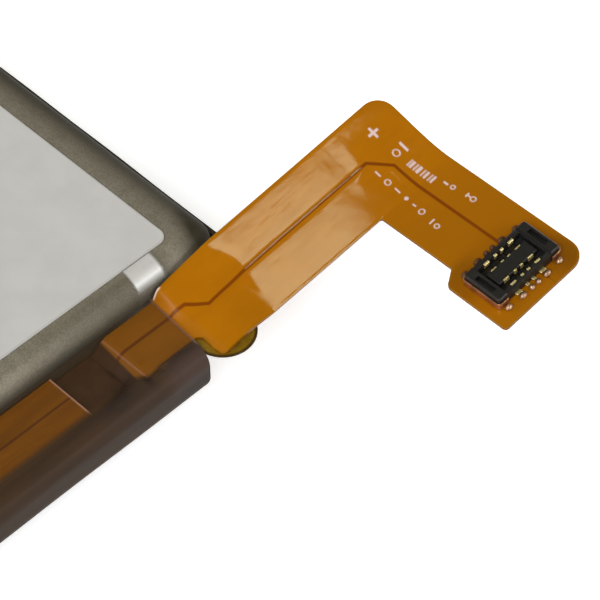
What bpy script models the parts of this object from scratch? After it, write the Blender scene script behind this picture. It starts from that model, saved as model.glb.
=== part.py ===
"""Mobile phone battery: a pouch cell with a protection board under a smoky end wrap and a bent flex tail.

The origin is the middle of the cell's flat underside. +X points along the pack to the terminal end,
+Y to the side where the flex tail leaves, and +Z up through the label.
"""

import math

import bmesh
import bpy
from mathutils import Matrix, Vector

MM = 0.001

# Clearances
FIT = 0.02
FILM_FIT = 0.01
SLOT_FIT = 0.025

# Cell pouch
CELL_LENGTH = 84.0
CELL_WIDTH = 62.0
CELL_THICKNESS = 4.6
PLAN_CORNER_RADIUS = 1.35
TOP_EDGE_RADIUS = 1.05
BOTTOM_EDGE_RADIUS = 0.7
CELL_END = CELL_LENGTH / 2
CELL_SIDE = CELL_WIDTH / 2

# Terrace flange, where the laminate is welded round the tabs
FLANGE_LENGTH = 3.1
FLANGE_THICKNESS = 0.28
FLANGE_BOTTOM = 1.4
FLANGE_SIDE_INSET = 4.6
FLANGE_ROOT_DEPTH = 2.0
FLANGE_TOP = FLANGE_BOTTOM + FLANGE_THICKNESS
FLANGE_EDGE = CELL_END + FLANGE_LENGTH

# Side seals, folded up against the cell
SEAL_THICKNESS = 0.25
SEAL_BOTTOM = 0.8
SEAL_TOP = 3.6
SEAL_END_INSET = 0.1

# Label
LABEL_THICKNESS = 0.08
LABEL_SIDE_MARGIN = 1.97
LABEL_END_MARGIN = 1.08
LABEL_REAR_MARGIN = 1.6
LABEL_CORNER_RADIUS = 0.5
LABEL_END = CELL_END - LABEL_END_MARGIN
LABEL_SIDE = CELL_SIDE - LABEL_SIDE_MARGIN

# Smoky wrap folded round the protection board
WRAP_THICKNESS = 0.08
WRAP_TOP = 3.41
WRAP_BOTTOM = 1.24
WRAP_REACH = 3.92
WRAP_TOP_RADIUS = 0.32
WRAP_BOTTOM_RADIUS = 0.5
WRAP_END_INSET = 4.14
WRAP_CUT_SLANT = 0.3
WRAP_CUT_ROUND = 0.7
WRAP_FACE = CELL_END + WRAP_REACH

# Clear tape over the shoulder
TAPE_WIDTH = 1.65
TAPE_THICKNESS = 0.05
TAPE_SIDE_INSET = 3.07
TAPE_LOWEST = 3.45

# Protection board on the terrace
BOARD_INSET = 0.12
BOARD_WIDTH = 2.7
BOARD_THICKNESS = 0.3
BOARD_BOTTOM = 2.75
BOARD_RIGHT_END = 21.2
BOARD_LEFT_END = -16.0
BOARD_INNER = CELL_END + BOARD_INSET
BOARD_OUTER = BOARD_INNER + BOARD_WIDTH
BOARD_TOP = BOARD_BOTTOM + BOARD_THICKNESS
BOARD_GAP_INSET = 1.28
CARRIER_TAPE_THICKNESS = 0.06

# Cell tabs, folded out and back under the board
TAB_WIDTH = 6.0
TAB_THICKNESS = 0.1
TAB_SPACING = 16.0
TAB_CENTRE = 2.0
TAB_BEND_RADIUS = 0.2
TAB_FOLD_REACH = 0.45
TAB_RUN_HEIGHT = 2.5
TAB_RUN_END = CELL_END + 1.2
COLLAR_WIDTH = 8.0
COLLAR_LENGTH = 0.16
COLLAR_THICKNESS = 0.3
PLATE_THICKNESS = 0.15
PLATE_LENGTH = 1.6
PLATE_WIDTH = 5.2

# Flex tail, in plan
FLEX_INNER_GAP = 0.14
NECK_WIDTH = 2.62
LEG_ROOT_WIDTH = 4.4
LEG_WIDTH = 4.245
LEG_EVEN_REACH = 3.0
LOBE_RISE = 0.12
ARM_WIDTH = 4.19
ARM_OUTREACH = 9.26
ARM_LEAN = 0.0136
TAB_END_OUTREACH = 12.11
TAB_LOW_OUTREACH = 4.4
TAB_LENGTH = 3.26
TAB_SHOULDER = 0.5
TAIL_END_INSET = 10.7
ROOT_INSET = 4.02
ELBOW_RADIUS = 0.9
END_RADIUS = 0.9
FLEX_INNER = CELL_END + FLEX_INNER_GAP
NECK_OUTER = FLEX_INNER + NECK_WIDTH
LEG_OUTER = FLEX_INNER + LEG_WIDTH
ARM_OUTER = CELL_SIDE + ARM_OUTREACH
ARM_INNER = ARM_OUTER - ARM_WIDTH
FLEX_END = CELL_END + TAB_END_OUTREACH
TAB_LOW = CELL_SIDE + TAB_LOW_OUTREACH
TAB_START = FLEX_END - TAB_LENGTH
ROOT = CELL_SIDE - ROOT_INSET

# Flex tail, in height
TAIL_HEIGHT = 2.64
NECK_HEIGHT = 3.215
TAIL_FLAT_LENGTH = 2.1
TAIL_RISE_LENGTH = 1.0
TAIL_RISE_START = BOARD_RIGHT_END + TAIL_FLAT_LENGTH
TAIL_RISE_END = TAIL_RISE_START + TAIL_RISE_LENGTH
ROOT_SLOPE = 0.419
ROOT_BEND_LEAD = 0.28
ROOT_BEND_LENGTH = 0.63
LEG_SLOPE = 0.136
LEG_BEND_REACH = 2.6
LEG_BEND_LENGTH = 2.0
ROOT_BEND_START = ROOT - ROOT_BEND_LEAD
ROOT_BEND_END = ROOT_BEND_START + ROOT_BEND_LENGTH
LEG_BEND_START = ROOT + LEG_BEND_REACH
LEG_BEND_END = LEG_BEND_START + LEG_BEND_LENGTH
ARM_HEIGHT = 4.631
ARM_SLOPE = 0.137
ARM_MIDDLE_OUTREACH = 6.4
ARM_MIDDLE = CELL_SIDE + ARM_MIDDLE_OUTREACH
ARM_TILT = math.atan(ARM_SLOPE)
TWIST_LEAD = 0.87
TWIST_LENGTH = 5.29
TWIST_GROWTH = 3.0
TWIST_START = CELL_END - TWIST_LEAD
TWIST_END = TWIST_START + TWIST_LENGTH
TWIST_GROWN = ROOT + TWIST_GROWTH

# Flex layers, from the underside up
FILM_THICKNESS = 0.045
COPPER_THICKNESS = 0.035
COPPER_BORDER = 0.33
COPPER_GAP = 0.14
BASE_LOW = -FILM_THICKNESS - FILM_FIT - COPPER_THICKNESS / 2
COPPER_LOW = BASE_LOW + FILM_THICKNESS + FILM_FIT
COVER_LOW = COPPER_LOW + COPPER_THICKNESS + FILM_FIT
COVER_HIGH = COVER_LOW + FILM_THICKNESS
GAP_NECK_INSET = 1.12
GAP_LEG_INSET = 1.99
GAP_ARM_INSET = 2.23
GAP_JOG_REACH = 0.7
GAP_JOG_LENGTH = 0.6
GAP_NECK = FLEX_INNER + GAP_NECK_INSET
GAP_LEG = FLEX_INNER + GAP_LEG_INSET
GAP_ARM = ARM_INNER + GAP_ARM_INSET
GAP_JOG_START = ROOT + GAP_JOG_REACH
GAP_CHAMFER = 0.85

# Brown tape over the flex where it comes out from under the board
JOINT_TAPE_THICKNESS = 0.06
JOINT_TAPE_LOW = TAIL_HEIGHT + COVER_HIGH + FILM_FIT

# Rounded tongue of the retaining film under the flex
TONGUE_WIDTH = 2.84
TONGUE_THICKNESS = 0.05
TONGUE_REACH = 4.64
TONGUE_INSET = 3.02
TONGUE_HEIGHT = 3.08
TONGUE_START_GAP = 0.1

# Socket, measured from its own middle on the face of the flex
SOCKET_END_OUTREACH = 10.25
SOCKET_SIDE_OUTREACH = 6.8
SOCKET_X = CELL_END + SOCKET_END_OUTREACH
SOCKET_Y = CELL_SIDE + SOCKET_SIDE_OUTREACH
SOCKET_LENGTH = 3.68
SOCKET_WIDTH = 1.98
SOCKET_CORNER_RADIUS = 0.12
SOCKET_WALL_HEIGHT = 0.5
SOCKET_END_RISE = 0.08
END_WALL = 0.5
SIDE_WALL = 0.24
ISLAND_WIDTH = 0.72
ISLAND_DROP = 0.06
SOCKET_FLOOR = 0.13
TRENCH_LEDGE = 0.06
SOCKET_SEAT = COVER_HIGH + FIT
STIFFENER_THICKNESS = 0.1
STIFFENER_INSET = 0.06

# Contacts
SIGNAL_WIDTH = 0.16
POWER_WIDTH = 0.3
SIGNAL_OFFSET = 0.19
POWER_OFFSET = 0.73
CONTACT_THICKNESS = 0.07
CONTACT_INNER_ARM = 0.31
CONTACT_OUTER_ARM = 0.72
CONTACT_ARM_THICKNESS = 0.1
CONTACT_INNER_TOP = 0.42
CONTACT_OUTER_TOP = 0.49
CONTACT_REACH = 1.12
SOLDER_LENGTH = 0.28
SOLDER_HEIGHT = 0.18
SOLDER_SPREAD = 0.07
HOLDER_HEIGHT = 0.34
HOLDER_THICKNESS = 0.06
HOLDER_LEG = 0.5
HOLDER_SOLDER_WIDTH = 0.4

ARC_STEPS = 6


def clear_scene():
    """Empties the startup scene."""
    for item in list(bpy.data.objects):
        bpy.data.objects.remove(item, do_unlink=True)


def finish(name, colour, roughness, metallic, alpha=1.0):
    """A plain surface named for its colour, gloss and whether it is metal."""
    made = bpy.data.materials.get(name)
    if made is None:
        made = bpy.data.materials.new(name)
        made.use_nodes = True
        shader = made.node_tree.nodes["Principled BSDF"]
        shader.inputs["Base Color"].default_value = (*colour, 1.0)
        shader.inputs["Roughness"].default_value = roughness
        shader.inputs["Metallic"].default_value = metallic
        shader.inputs["Alpha"].default_value = alpha
        made.diffuse_color = (*colour, alpha)
    return made


def node_from(name, bm, surface):
    """Turns a bmesh into a named object, faces outward, with its surface."""
    bmesh.ops.recalc_face_normals(bm, faces=bm.faces)
    if bm.calc_volume(signed=True) < 0:
        bmesh.ops.reverse_faces(bm, faces=bm.faces)
    mesh = bpy.data.meshes.new(name)
    bm.to_mesh(mesh)
    bm.free()
    made = bpy.data.objects.new(name, mesh)
    bpy.context.scene.collection.objects.link(made)
    if surface is not None:
        mesh.materials.append(surface)
    return made


def round_corners(corners):
    """Replaces each (x, y, radius) corner of a closed outline with an arc of that radius."""
    points = []
    count = len(corners)
    for index, (x, y, radius) in enumerate(corners):
        here = Vector((x, y))
        if radius <= 0:
            points.append(here)
            continue
        before = Vector(corners[index - 1][:2]) - here
        after = Vector(corners[(index + 1) % count][:2]) - here
        half = before.angle(after) / 2
        reach = radius / math.tan(half)
        start = here + before.normalized() * reach
        end = here + after.normalized() * reach
        centre = here + (before.normalized() + after.normalized()).normalized() * radius / math.sin(half)
        first = start - centre
        turn = first.angle_signed(end - centre)
        steps = max(2, round(ARC_STEPS * abs(turn) / (math.pi / 2)))
        for step in range(steps + 1):
            swing = Matrix.Rotation(-turn * step / steps, 2)
            points.append(centre + swing @ first)
    return points


def offset_line(line, distance):
    """Moves an open line of (x, y, radius) points to its left by a distance, with mitred corners."""
    moved = []
    last = len(line) - 1
    for index, (x, y, radius) in enumerate(line):
        here = Vector((x, y))
        ahead = Vector(line[min(index + 1, last)][:2]) - Vector(line[min(index, last - 1)][:2])
        behind = Vector(line[max(index, 1)][:2]) - Vector(line[max(index - 1, 0)][:2])
        left_ahead = Vector((-ahead.y, ahead.x)).normalized()
        left_behind = Vector((-behind.y, behind.x)).normalized()
        middle = (left_ahead + left_behind).normalized()
        # a corner that turns towards the moved side loses radius, and one that turns away gains it
        turn = behind.x * ahead.y - behind.y * ahead.x
        rounding = max(radius - math.copysign(distance, turn * distance), 0.05) if radius > 0 else 0
        spot = here + middle * distance / middle.dot(left_ahead)
        moved.append((spot.x, spot.y, rounding))
    return moved


def outline_face(bm, points, height=0.0):
    """Fills an outline of plan points, in millimetres, with one face."""
    ring = [bm.verts.new((point.x * MM, point.y * MM, height * MM)) for point in points]
    return bm.faces.new(ring)


def plate(name, corners, low, high, surface, bevel=0.0, segments=2):
    """A flat plate with an outline of (x, y, radius) corners between two heights."""
    bm = bmesh.new()
    face = outline_face(bm, round_corners(corners), low)
    grown = bmesh.ops.extrude_face_region(bm, geom=[face])
    lifted = [item for item in grown["geom"] if isinstance(item, bmesh.types.BMVert)]
    bmesh.ops.translate(bm, vec=(0, 0, (high - low) * MM), verts=lifted)
    if bevel > 0:
        rims = [edge for edge in bm.edges if abs(edge.verts[0].co.z - edge.verts[1].co.z) < 1e-9]
        tops = [edge for edge in rims if edge.verts[0].co.z > (low + high) / 2 * MM]
        bmesh.ops.bevel(bm, geom=tops, offset=bevel * MM, segments=segments, profile=0.5, affect="EDGES")
    return node_from(name, bm, surface)


def block(name, low, high, surface, bevel=0.0):
    """A box between two corners, with all its edges eased when a bevel is given."""
    bm = bmesh.new()
    bmesh.ops.create_cube(bm, size=1.0)
    size = Vector(high) - Vector(low)
    bmesh.ops.scale(bm, vec=size * MM, verts=bm.verts)
    bmesh.ops.translate(bm, vec=(Vector(high) + Vector(low)) / 2 * MM, verts=bm.verts)
    if bevel > 0:
        bmesh.ops.bevel(bm, geom=bm.edges[:], offset=bevel * MM, segments=1, profile=0.5, affect="EDGES")
    return node_from(name, bm, surface)


def sweep(name, section, start, length, surface, direction="Y"):
    """Pulls a closed section of (across, height) points along Y or X from a start."""
    bm = bmesh.new()
    ring = []
    for across, height in section:
        spot = (across, start, height) if direction == "Y" else (start, across, height)
        ring.append(bm.verts.new(Vector(spot) * MM))
    face = bm.faces.new(ring)
    grown = bmesh.ops.extrude_face_region(bm, geom=[face])
    moved = [item for item in grown["geom"] if isinstance(item, bmesh.types.BMVert)]
    shift = (0, length * MM, 0) if direction == "Y" else (length * MM, 0, 0)
    bmesh.ops.translate(bm, vec=shift, verts=moved)
    return node_from(name, bm, surface)


def strip_section(line, thickness):
    """The closed section of a thin strip whose middle follows an open line of (x, z, radius) points."""
    left = offset_line(line, thickness / 2)
    right = offset_line(line, -thickness / 2)
    return [(point.x, point.y) for point in round_corners(left + right[::-1])]


def combine(target, other, operation):
    """Joins a helper to a node, or cuts it away, by an exact Boolean."""
    modifier = target.modifiers.new(operation.lower(), "BOOLEAN")
    modifier.operation = operation
    modifier.solver = "EXACT"
    modifier.object = other
    other.hide_render = True
    other.display_type = "WIRE"


def cutter_of(name, boxes):
    """One helper that holds several separate boxes."""
    bm = bmesh.new()
    for low, high in boxes:
        made = bmesh.ops.create_cube(bm, size=1.0)["verts"]
        size = Vector(high) - Vector(low)
        bmesh.ops.scale(bm, vec=size * MM, verts=made)
        bmesh.ops.translate(bm, vec=(Vector(high) + Vector(low)) / 2 * MM, verts=made)
    return node_from(name, bm, None)


def ramp_sum(place, start, end):
    """How far a path has moved sideways when its slope eases from nothing to one between two places."""
    if place <= start:
        return 0.0
    span = end - start
    if place >= end:
        return span / 2 + place - end
    share = (place - start) / span
    return span * (share**3 - share**4 / 2)


def ease(place, start, end):
    """A smooth step from nothing to one between two places."""
    share = min(max((place - start) / (end - start), 0.0), 1.0)
    return share * share * (3 - 2 * share)


def flex_height(x, y):
    """The height of the middle of the flex above a point of its plan."""
    leg = TAIL_HEIGHT + (NECK_HEIGHT - TAIL_HEIGHT) * ease(y, TAIL_RISE_START, TAIL_RISE_END)
    leg += ROOT_SLOPE * ramp_sum(y, ROOT_BEND_START, ROOT_BEND_END)
    leg += (LEG_SLOPE - ROOT_SLOPE) * ramp_sum(y, LEG_BEND_START, LEG_BEND_END)
    arm = ARM_HEIGHT + ARM_SLOPE * (y - ARM_MIDDLE)
    share = ease(x, TWIST_START, TWIST_END) * ease(y, ROOT_BEND_START, TWIST_GROWN)
    return leg + (arm - leg) * share


def flex_point(x, y, offset):
    """The point that lies an offset above the middle of the flex, square to it."""
    near = 0.005
    along = (flex_height(x + near, y) - flex_height(x - near, y)) / (2 * near)
    across = (flex_height(x, y + near) - flex_height(x, y - near)) / (2 * near)
    upward = Vector((-along, -across, 1.0)).normalized()
    return Vector((x, y, flex_height(x, y))) + upward * offset


def stations(start, end, step):
    """Evenly spaced places between two ends, both included."""
    count = max(1, math.ceil((end - start) / step))
    return [start + (end - start) * index / count for index in range(count + 1)]


def fold_lines():
    """Where a layer of the flex is divided so that it can follow the bends, as (axis, place) pairs."""
    across = stations(TAIL_RISE_START, TAIL_RISE_END, 0.1)
    across += stations(ROOT_BEND_START, ROOT_BEND_END, 0.13)
    across += stations(ROOT_BEND_END, LEG_BEND_START, 0.33)[1:]
    across += stations(LEG_BEND_START, LEG_BEND_END, 0.34)[1:]
    across += stations(LEG_BEND_END, ARM_OUTER - 0.6, 1.6)[1:]
    along = stations(TWIST_START, TWIST_END, 0.36)
    return [("Y", place) for place in across] + [("X", place) for place in along if place > FLEX_INNER]


def flex_layer(name, corners, low, high, surface):
    """A thin layer of the flex with a plan outline, bent to the flex's shape between two offsets."""
    bm = bmesh.new()
    outline_face(bm, round_corners(corners))
    for axis, place in fold_lines():
        spot = (0, place * MM, 0) if axis == "Y" else (place * MM, 0, 0)
        normal = (0, 1, 0) if axis == "Y" else (1, 0, 0)
        whole = bm.verts[:] + bm.edges[:] + bm.faces[:]
        bmesh.ops.bisect_plane(bm, geom=whole, dist=1e-7, plane_co=spot, plane_no=normal)
    lower = bm.verts[:]
    grown = bmesh.ops.extrude_face_region(bm, geom=bm.faces[:])
    upper = [item for item in grown["geom"] if isinstance(item, bmesh.types.BMVert)]
    for group, offset in ((lower, low), (upper, high)):
        for vert in group:
            vert.co = flex_point(vert.co.x / MM, vert.co.y / MM, offset) * MM
    return node_from(name, bm, surface)


def rounded_box(name, half_x, half_y, height, plan_radius, top_radius, bottom_radius, surface):
    """A box on the ground with rounded plan corners and rounded top and bottom edges."""
    bm = bmesh.new()
    corners = [
        (half_x, half_y, plan_radius),
        (-half_x, half_y, plan_radius),
        (-half_x, -half_y, plan_radius),
        (half_x, -half_y, plan_radius),
    ]
    face = outline_face(bm, round_corners(corners))
    grown = bmesh.ops.extrude_face_region(bm, geom=[face])
    lifted = [item for item in grown["geom"] if isinstance(item, bmesh.types.BMVert)]
    bmesh.ops.translate(bm, vec=(0, 0, height * MM), verts=lifted)
    for radius, level in ((top_radius, height), (bottom_radius, 0.0)):
        rim = [edge for edge in bm.edges if all(abs(v.co.z - level * MM) < 1e-7 for v in edge.verts)]
        bmesh.ops.bevel(bm, geom=rim, offset=radius * MM, segments=ARC_STEPS, profile=0.5, affect="EDGES")
    return node_from(name, bm, surface)


def build_cell():
    """The pouch with its terrace flange, the two folded side seals and the label."""
    foil = finish("warm grey brushed foil", (0.20, 0.18, 0.14), 0.34, 0.75)
    seal = finish("dark grey satin foil", (0.12, 0.11, 0.09), 0.42, 0.6)
    paper = finish("pale grey satin label", (0.56, 0.53, 0.5), 0.5, 0.0)
    cell = rounded_box(
        "pouch_cell",
        CELL_END,
        CELL_SIDE,
        CELL_THICKNESS,
        PLAN_CORNER_RADIUS,
        TOP_EDGE_RADIUS,
        BOTTOM_EDGE_RADIUS,
        foil,
    )
    flange_side = CELL_SIDE - FLANGE_SIDE_INSET
    flange = block(
        "flange_helper",
        (CELL_END - FLANGE_ROOT_DEPTH, -flange_side, FLANGE_BOTTOM),
        (FLANGE_EDGE, flange_side, FLANGE_TOP),
        None,
        bevel=0.05,
    )
    combine(cell, flange, "UNION")
    for side, label in ((1, "flex_side"), (-1, "plain_side")):
        inner = side * (CELL_SIDE + FIT)
        outer = side * (CELL_SIDE + FIT + SEAL_THICKNESS)
        start = -CELL_END + SEAL_END_INSET
        block(
            f"folded_seal_{label}",
            (start, min(inner, outer), SEAL_BOTTOM),
            (CELL_END - SEAL_END_INSET, max(inner, outer), SEAL_TOP),
            seal,
            bevel=0.08,
        )
    label_corners = [
        (LABEL_END, LABEL_SIDE, LABEL_CORNER_RADIUS),
        (-CELL_END + LABEL_REAR_MARGIN, LABEL_SIDE, LABEL_CORNER_RADIUS),
        (-CELL_END + LABEL_REAR_MARGIN, -LABEL_SIDE, LABEL_CORNER_RADIUS),
        (LABEL_END, -LABEL_SIDE, LABEL_CORNER_RADIUS),
    ]
    low = CELL_THICKNESS + FILM_FIT
    plate("label", label_corners, low, low + LABEL_THICKNESS, paper)


def build_wrap():
    """The smoky film folded round the board, open towards the cell and cut at a slant near the flex."""
    smoke = finish("smoky brown gloss film", (0.05, 0.032, 0.02), 0.3, 0.0, alpha=0.6)
    middle = WRAP_THICKNESS / 2
    start = CELL_END + FIT + FILM_FIT
    line = [
        (start, WRAP_TOP - middle, 0),
        (WRAP_FACE - middle, WRAP_TOP - middle, WRAP_TOP_RADIUS - middle),
        (WRAP_FACE - middle, WRAP_BOTTOM + middle, WRAP_BOTTOM_RADIUS - middle),
        (start, WRAP_BOTTOM + middle, 0),
    ]
    section = strip_section(line, WRAP_THICKNESS)
    half = CELL_SIDE - WRAP_END_INSET
    wrap = sweep("end_wrap_film", section, -half, 2 * half, smoke)
    for vert in wrap.data.vertices:
        if vert.co.y > 0:
            slant = WRAP_CUT_SLANT * (vert.co.x / MM - CELL_END) / WRAP_REACH
            depth = max(1 - (vert.co.z / MM - WRAP_BOTTOM) / WRAP_CUT_ROUND, 0)
            rounding = WRAP_CUT_ROUND * (1 - math.sqrt(max(1 - depth**2, 0)))
            vert.co.y -= (slant + rounding) * MM


def build_shoulder_tape():
    """The clear tape that runs from the label's edge over the shoulder and down behind the flex."""
    clear = finish("clear gloss tape", (0.72, 0.71, 0.69), 0.12, 0.0, alpha=0.7)
    middle = FILM_FIT + TAPE_THICKNESS / 2
    line = [
        (LABEL_END + 0.05, CELL_THICKNESS + middle, 0),
        (CELL_END + middle, CELL_THICKNESS + middle, TOP_EDGE_RADIUS + middle),
        (CELL_END + middle, TAPE_LOWEST, 0),
    ]
    section = strip_section(line, TAPE_THICKNESS)
    start = CELL_SIDE - TAPE_SIDE_INSET - TAPE_WIDTH
    sweep("clear_tape_strip", section, start, TAPE_WIDTH, clear)


def build_board():
    """The protection board with its printed strip, its components, and the tape it lies over."""
    resin = finish("dark green resin board", (0.02, 0.05, 0.025), 0.45, 0.0)
    copper = finish("bright copper", (0.72, 0.32, 0.12), 0.3, 1.0)
    amber = finish("amber gloss film", (0.40, 0.14, 0.006), 0.3, 0.0, alpha=0.75)
    tape = finish("dark brown tape", (0.05, 0.03, 0.018), 0.5, 0.0)
    flange_side = CELL_SIDE - FLANGE_SIDE_INSET
    low = FLANGE_TOP + FIT
    block(
        "terrace_tape",
        (CELL_END + 0.1, -flange_side + 0.4, low),
        (FLANGE_EDGE - 0.1, flange_side - 0.4, low + CARRIER_TAPE_THICKNESS),
        tape,
    )
    block(
        "protection_board",
        (BOARD_INNER, BOARD_LEFT_END, BOARD_BOTTOM),
        (BOARD_OUTER, BOARD_RIGHT_END, BOARD_TOP),
        resin,
        bevel=0.03,
    )
    border = 0.14
    middle = BOARD_INNER + BOARD_GAP_INSET
    copper_low = BOARD_TOP + FILM_FIT
    copper_high = copper_low + COPPER_THICKNESS
    spans = (
        ("inner", BOARD_INNER + border, middle - COPPER_GAP / 2),
        ("outer", middle + COPPER_GAP / 2, BOARD_OUTER - border),
    )
    for name, start, end in spans:
        block(
            f"board_conductor_{name}",
            (start, BOARD_LEFT_END + border, copper_low),
            (end, BOARD_RIGHT_END - border, copper_high),
            copper,
        )
    block(
        "board_coverlay",
        (BOARD_INNER, BOARD_LEFT_END, copper_high + FILM_FIT),
        (BOARD_OUTER, BOARD_RIGHT_END, copper_high + FILM_FIT + FILM_THICKNESS),
        amber,
    )


def build_components():
    """The parts under the board: control chip, switching pair, sense resistor, fuse and passives."""
    epoxy = finish("black matte epoxy", (0.02, 0.02, 0.022), 0.5, 0.0)
    ceramic = finish("tan satin ceramic", (0.42, 0.32, 0.2), 0.45, 0.0)
    nickel = finish("bright nickel", (0.55, 0.52, 0.47), 0.28, 1.0)
    top = BOARD_BOTTOM - FIT
    middle = (BOARD_INNER + BOARD_OUTER) / 2
    parts = (
        ("control_chip", -1.3, 1.5, 2.0, 0.5, epoxy, 0.04),
        ("switch_transistor_a", 1.2, 1.9, 2.2, 0.6, epoxy, 0.05),
        ("switch_transistor_b", 3.7, 1.9, 2.2, 0.6, epoxy, 0.05),
        ("bypass_capacitor", 5.7, 0.6, 1.0, 0.5, ceramic, 0.05),
        ("sense_resistor", 14.6, 1.2, 2.0, 0.4, epoxy, 0.04),
        ("temperature_sensor", 16.8, 0.6, 1.0, 0.4, epoxy, 0.05),
        ("filter_capacitor", -10.6, 0.6, 1.1, 0.5, ceramic, 0.05),
        ("thermal_fuse", -13.3, 2.0, 2.6, 0.55, nickel, 0.08),
    )
    for name, centre, width, length, height, surface, bevel in parts:
        block(
            name,
            (middle - width / 2, centre - length / 2, top - height),
            (middle + width / 2, centre + length / 2, top),
            surface,
            bevel=bevel,
        )


def build_tabs():
    """The cell's two tabs, each with its sealing collar and the plate it is welded to."""
    aluminium = finish("silver satin aluminium", (0.62, 0.62, 0.62), 0.35, 1.0)
    nickel = finish("bright nickel", (0.55, 0.52, 0.47), 0.28, 1.0)
    sealant = finish("milky white sealant", (0.55, 0.52, 0.44), 0.5, 0.0)
    exit_height = (FLANGE_BOTTOM + FLANGE_TOP) / 2
    start = FLANGE_EDGE + FIT
    fold = FLANGE_EDGE + TAB_FOLD_REACH
    line = [
        (start, exit_height, 0),
        (fold, exit_height, TAB_BEND_RADIUS),
        (fold, TAB_RUN_HEIGHT, TAB_BEND_RADIUS),
        (TAB_RUN_END, TAB_RUN_HEIGHT, 0),
    ]
    section = strip_section(line, TAB_THICKNESS)
    run_top = TAB_RUN_HEIGHT + TAB_THICKNESS / 2
    for name, side, surface in (("positive", 1, aluminium), ("negative", -1, nickel)):
        centre = TAB_CENTRE + side * TAB_SPACING / 2
        sweep(f"{name}_tab", section, centre - TAB_WIDTH / 2, TAB_WIDTH, surface)
        collar = block(
            f"{name}_tab_collar",
            (start, centre - COLLAR_WIDTH / 2, exit_height - COLLAR_THICKNESS / 2),
            (start + COLLAR_LENGTH, centre + COLLAR_WIDTH / 2, exit_height + COLLAR_THICKNESS / 2),
            sealant,
        )
        room = TAB_THICKNESS / 2 + FILM_FIT
        slot = cutter_of(
            f"{name}_slot_helper",
            [
                (
                    (start - 1, centre - TAB_WIDTH / 2 - FILM_FIT, exit_height - room),
                    (start + 1, centre + TAB_WIDTH / 2 + FILM_FIT, exit_height + room),
                )
            ],
        )
        combine(collar, slot, "DIFFERENCE")
        block(
            f"{name}_weld_plate",
            (TAB_RUN_END, centre - PLATE_WIDTH / 2, run_top + FIT),
            (TAB_RUN_END + PLATE_LENGTH, centre + PLATE_WIDTH / 2, run_top + FIT + PLATE_THICKNESS),
            nickel,
        )


def lean(x):
    """How far the arm's sides have drifted outward at a place along it."""
    return ARM_LEAN * (x - FLEX_INNER)


def flex_sides():
    """The two long sides of the flex as open lines from its tail to its end."""
    tail = CELL_SIDE - TAIL_END_INSET
    lobe = ROOT + LOBE_RISE
    shoulder = TAB_START - TAB_SHOULDER
    left = [
        (FLEX_INNER, tail, 0),
        (FLEX_INNER, ARM_OUTER, ELBOW_RADIUS),
        (FLEX_END, ARM_OUTER + lean(FLEX_END), END_RADIUS),
        (FLEX_END, SOCKET_Y, 0),
    ]
    right = [
        (NECK_OUTER, tail, 0),
        (NECK_OUTER, lobe, 0.2),
        (FLEX_INNER + LEG_ROOT_WIDTH, lobe, 0.3),
        (LEG_OUTER, ROOT + LEG_EVEN_REACH, 0),
        (LEG_OUTER, ARM_INNER + lean(LEG_OUTER), 0.18),
        (shoulder, ARM_INNER + lean(shoulder), 0.12),
        (TAB_START, TAB_LOW, 0.3),
        (FLEX_END, TAB_LOW, 0.2),
        (FLEX_END, SOCKET_Y, 0),
    ]
    return left, right


def flex_gap():
    """The line between the two conductors, from the tail to the socket."""
    tail = CELL_SIDE - TAIL_END_INSET
    return [
        (GAP_NECK, tail, 0),
        (GAP_NECK, GAP_JOG_START, 0.1),
        (GAP_LEG, GAP_JOG_START + GAP_JOG_LENGTH, 0.1),
        (GAP_LEG, GAP_ARM - GAP_CHAMFER, 0.1),
        (GAP_LEG + GAP_CHAMFER, GAP_ARM + lean(GAP_LEG), 0.1),
        (FLEX_END, GAP_ARM + lean(FLEX_END), 0),
    ]


def cut_short(line, low_y, far_x):
    """Pulls the two ends of a line in from the flex's tail and from its far end."""
    first = (line[0][0], low_y, 0)
    last = (far_x, line[-1][1], 0)
    return [first, *line[1:-1], last]


def build_flex():
    """The flex tail: base film, two conductors with a gap between them, and the cover film."""
    amber = finish("amber gloss film", (0.40, 0.14, 0.006), 0.3, 0.0, alpha=0.75)
    copper = finish("bright copper", (0.72, 0.32, 0.12), 0.3, 1.0)
    left, right = flex_sides()
    outline = left[:-1] + right[:-1][::-1]
    flex_layer("flex_base_film", outline, BASE_LOW, BASE_LOW + FILM_THICKNESS, amber)
    flex_layer("flex_cover_film", outline, COVER_LOW, COVER_HIGH, amber)
    tail = CELL_SIDE - TAIL_END_INSET + COPPER_BORDER
    far = FLEX_END - COPPER_BORDER
    gap = flex_gap()
    gap_left = cut_short(offset_line(gap, COPPER_GAP / 2), tail, far)
    gap_right = cut_short(offset_line(gap, -COPPER_GAP / 2), tail, far)
    inner_side = offset_line(left, -COPPER_BORDER)[:-1]
    inner_side[0] = (inner_side[0][0], tail, 0)
    outer_side = offset_line(right, COPPER_BORDER)[:-1]
    outer_side[0] = (outer_side[0][0], tail, 0)
    high = COPPER_LOW + COPPER_THICKNESS
    flex_layer("flex_conductor_inner", inner_side + gap_left[::-1], COPPER_LOW, high, copper)
    flex_layer("flex_conductor_outer", gap_right + outer_side[::-1], COPPER_LOW, high, copper)


def build_joint_tape():
    """The brown tape stuck over the flex between the board's end and the start of its rise."""
    brown = finish("dark brown joint tape", (0.06, 0.03, 0.012), 0.4, 0.0)
    near = BOARD_RIGHT_END + FIT
    far = TAIL_RISE_START - FIT
    corners = [
        (FLEX_INNER, near, 0),
        (NECK_OUTER, near, 0),
        (NECK_OUTER, far, 0.2),
        (FLEX_INNER, far, 0.2),
    ]
    high = JOINT_TAPE_LOW + JOINT_TAPE_THICKNESS
    plate("joint_cover_tape", corners, JOINT_TAPE_LOW, high, brown)


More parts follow.
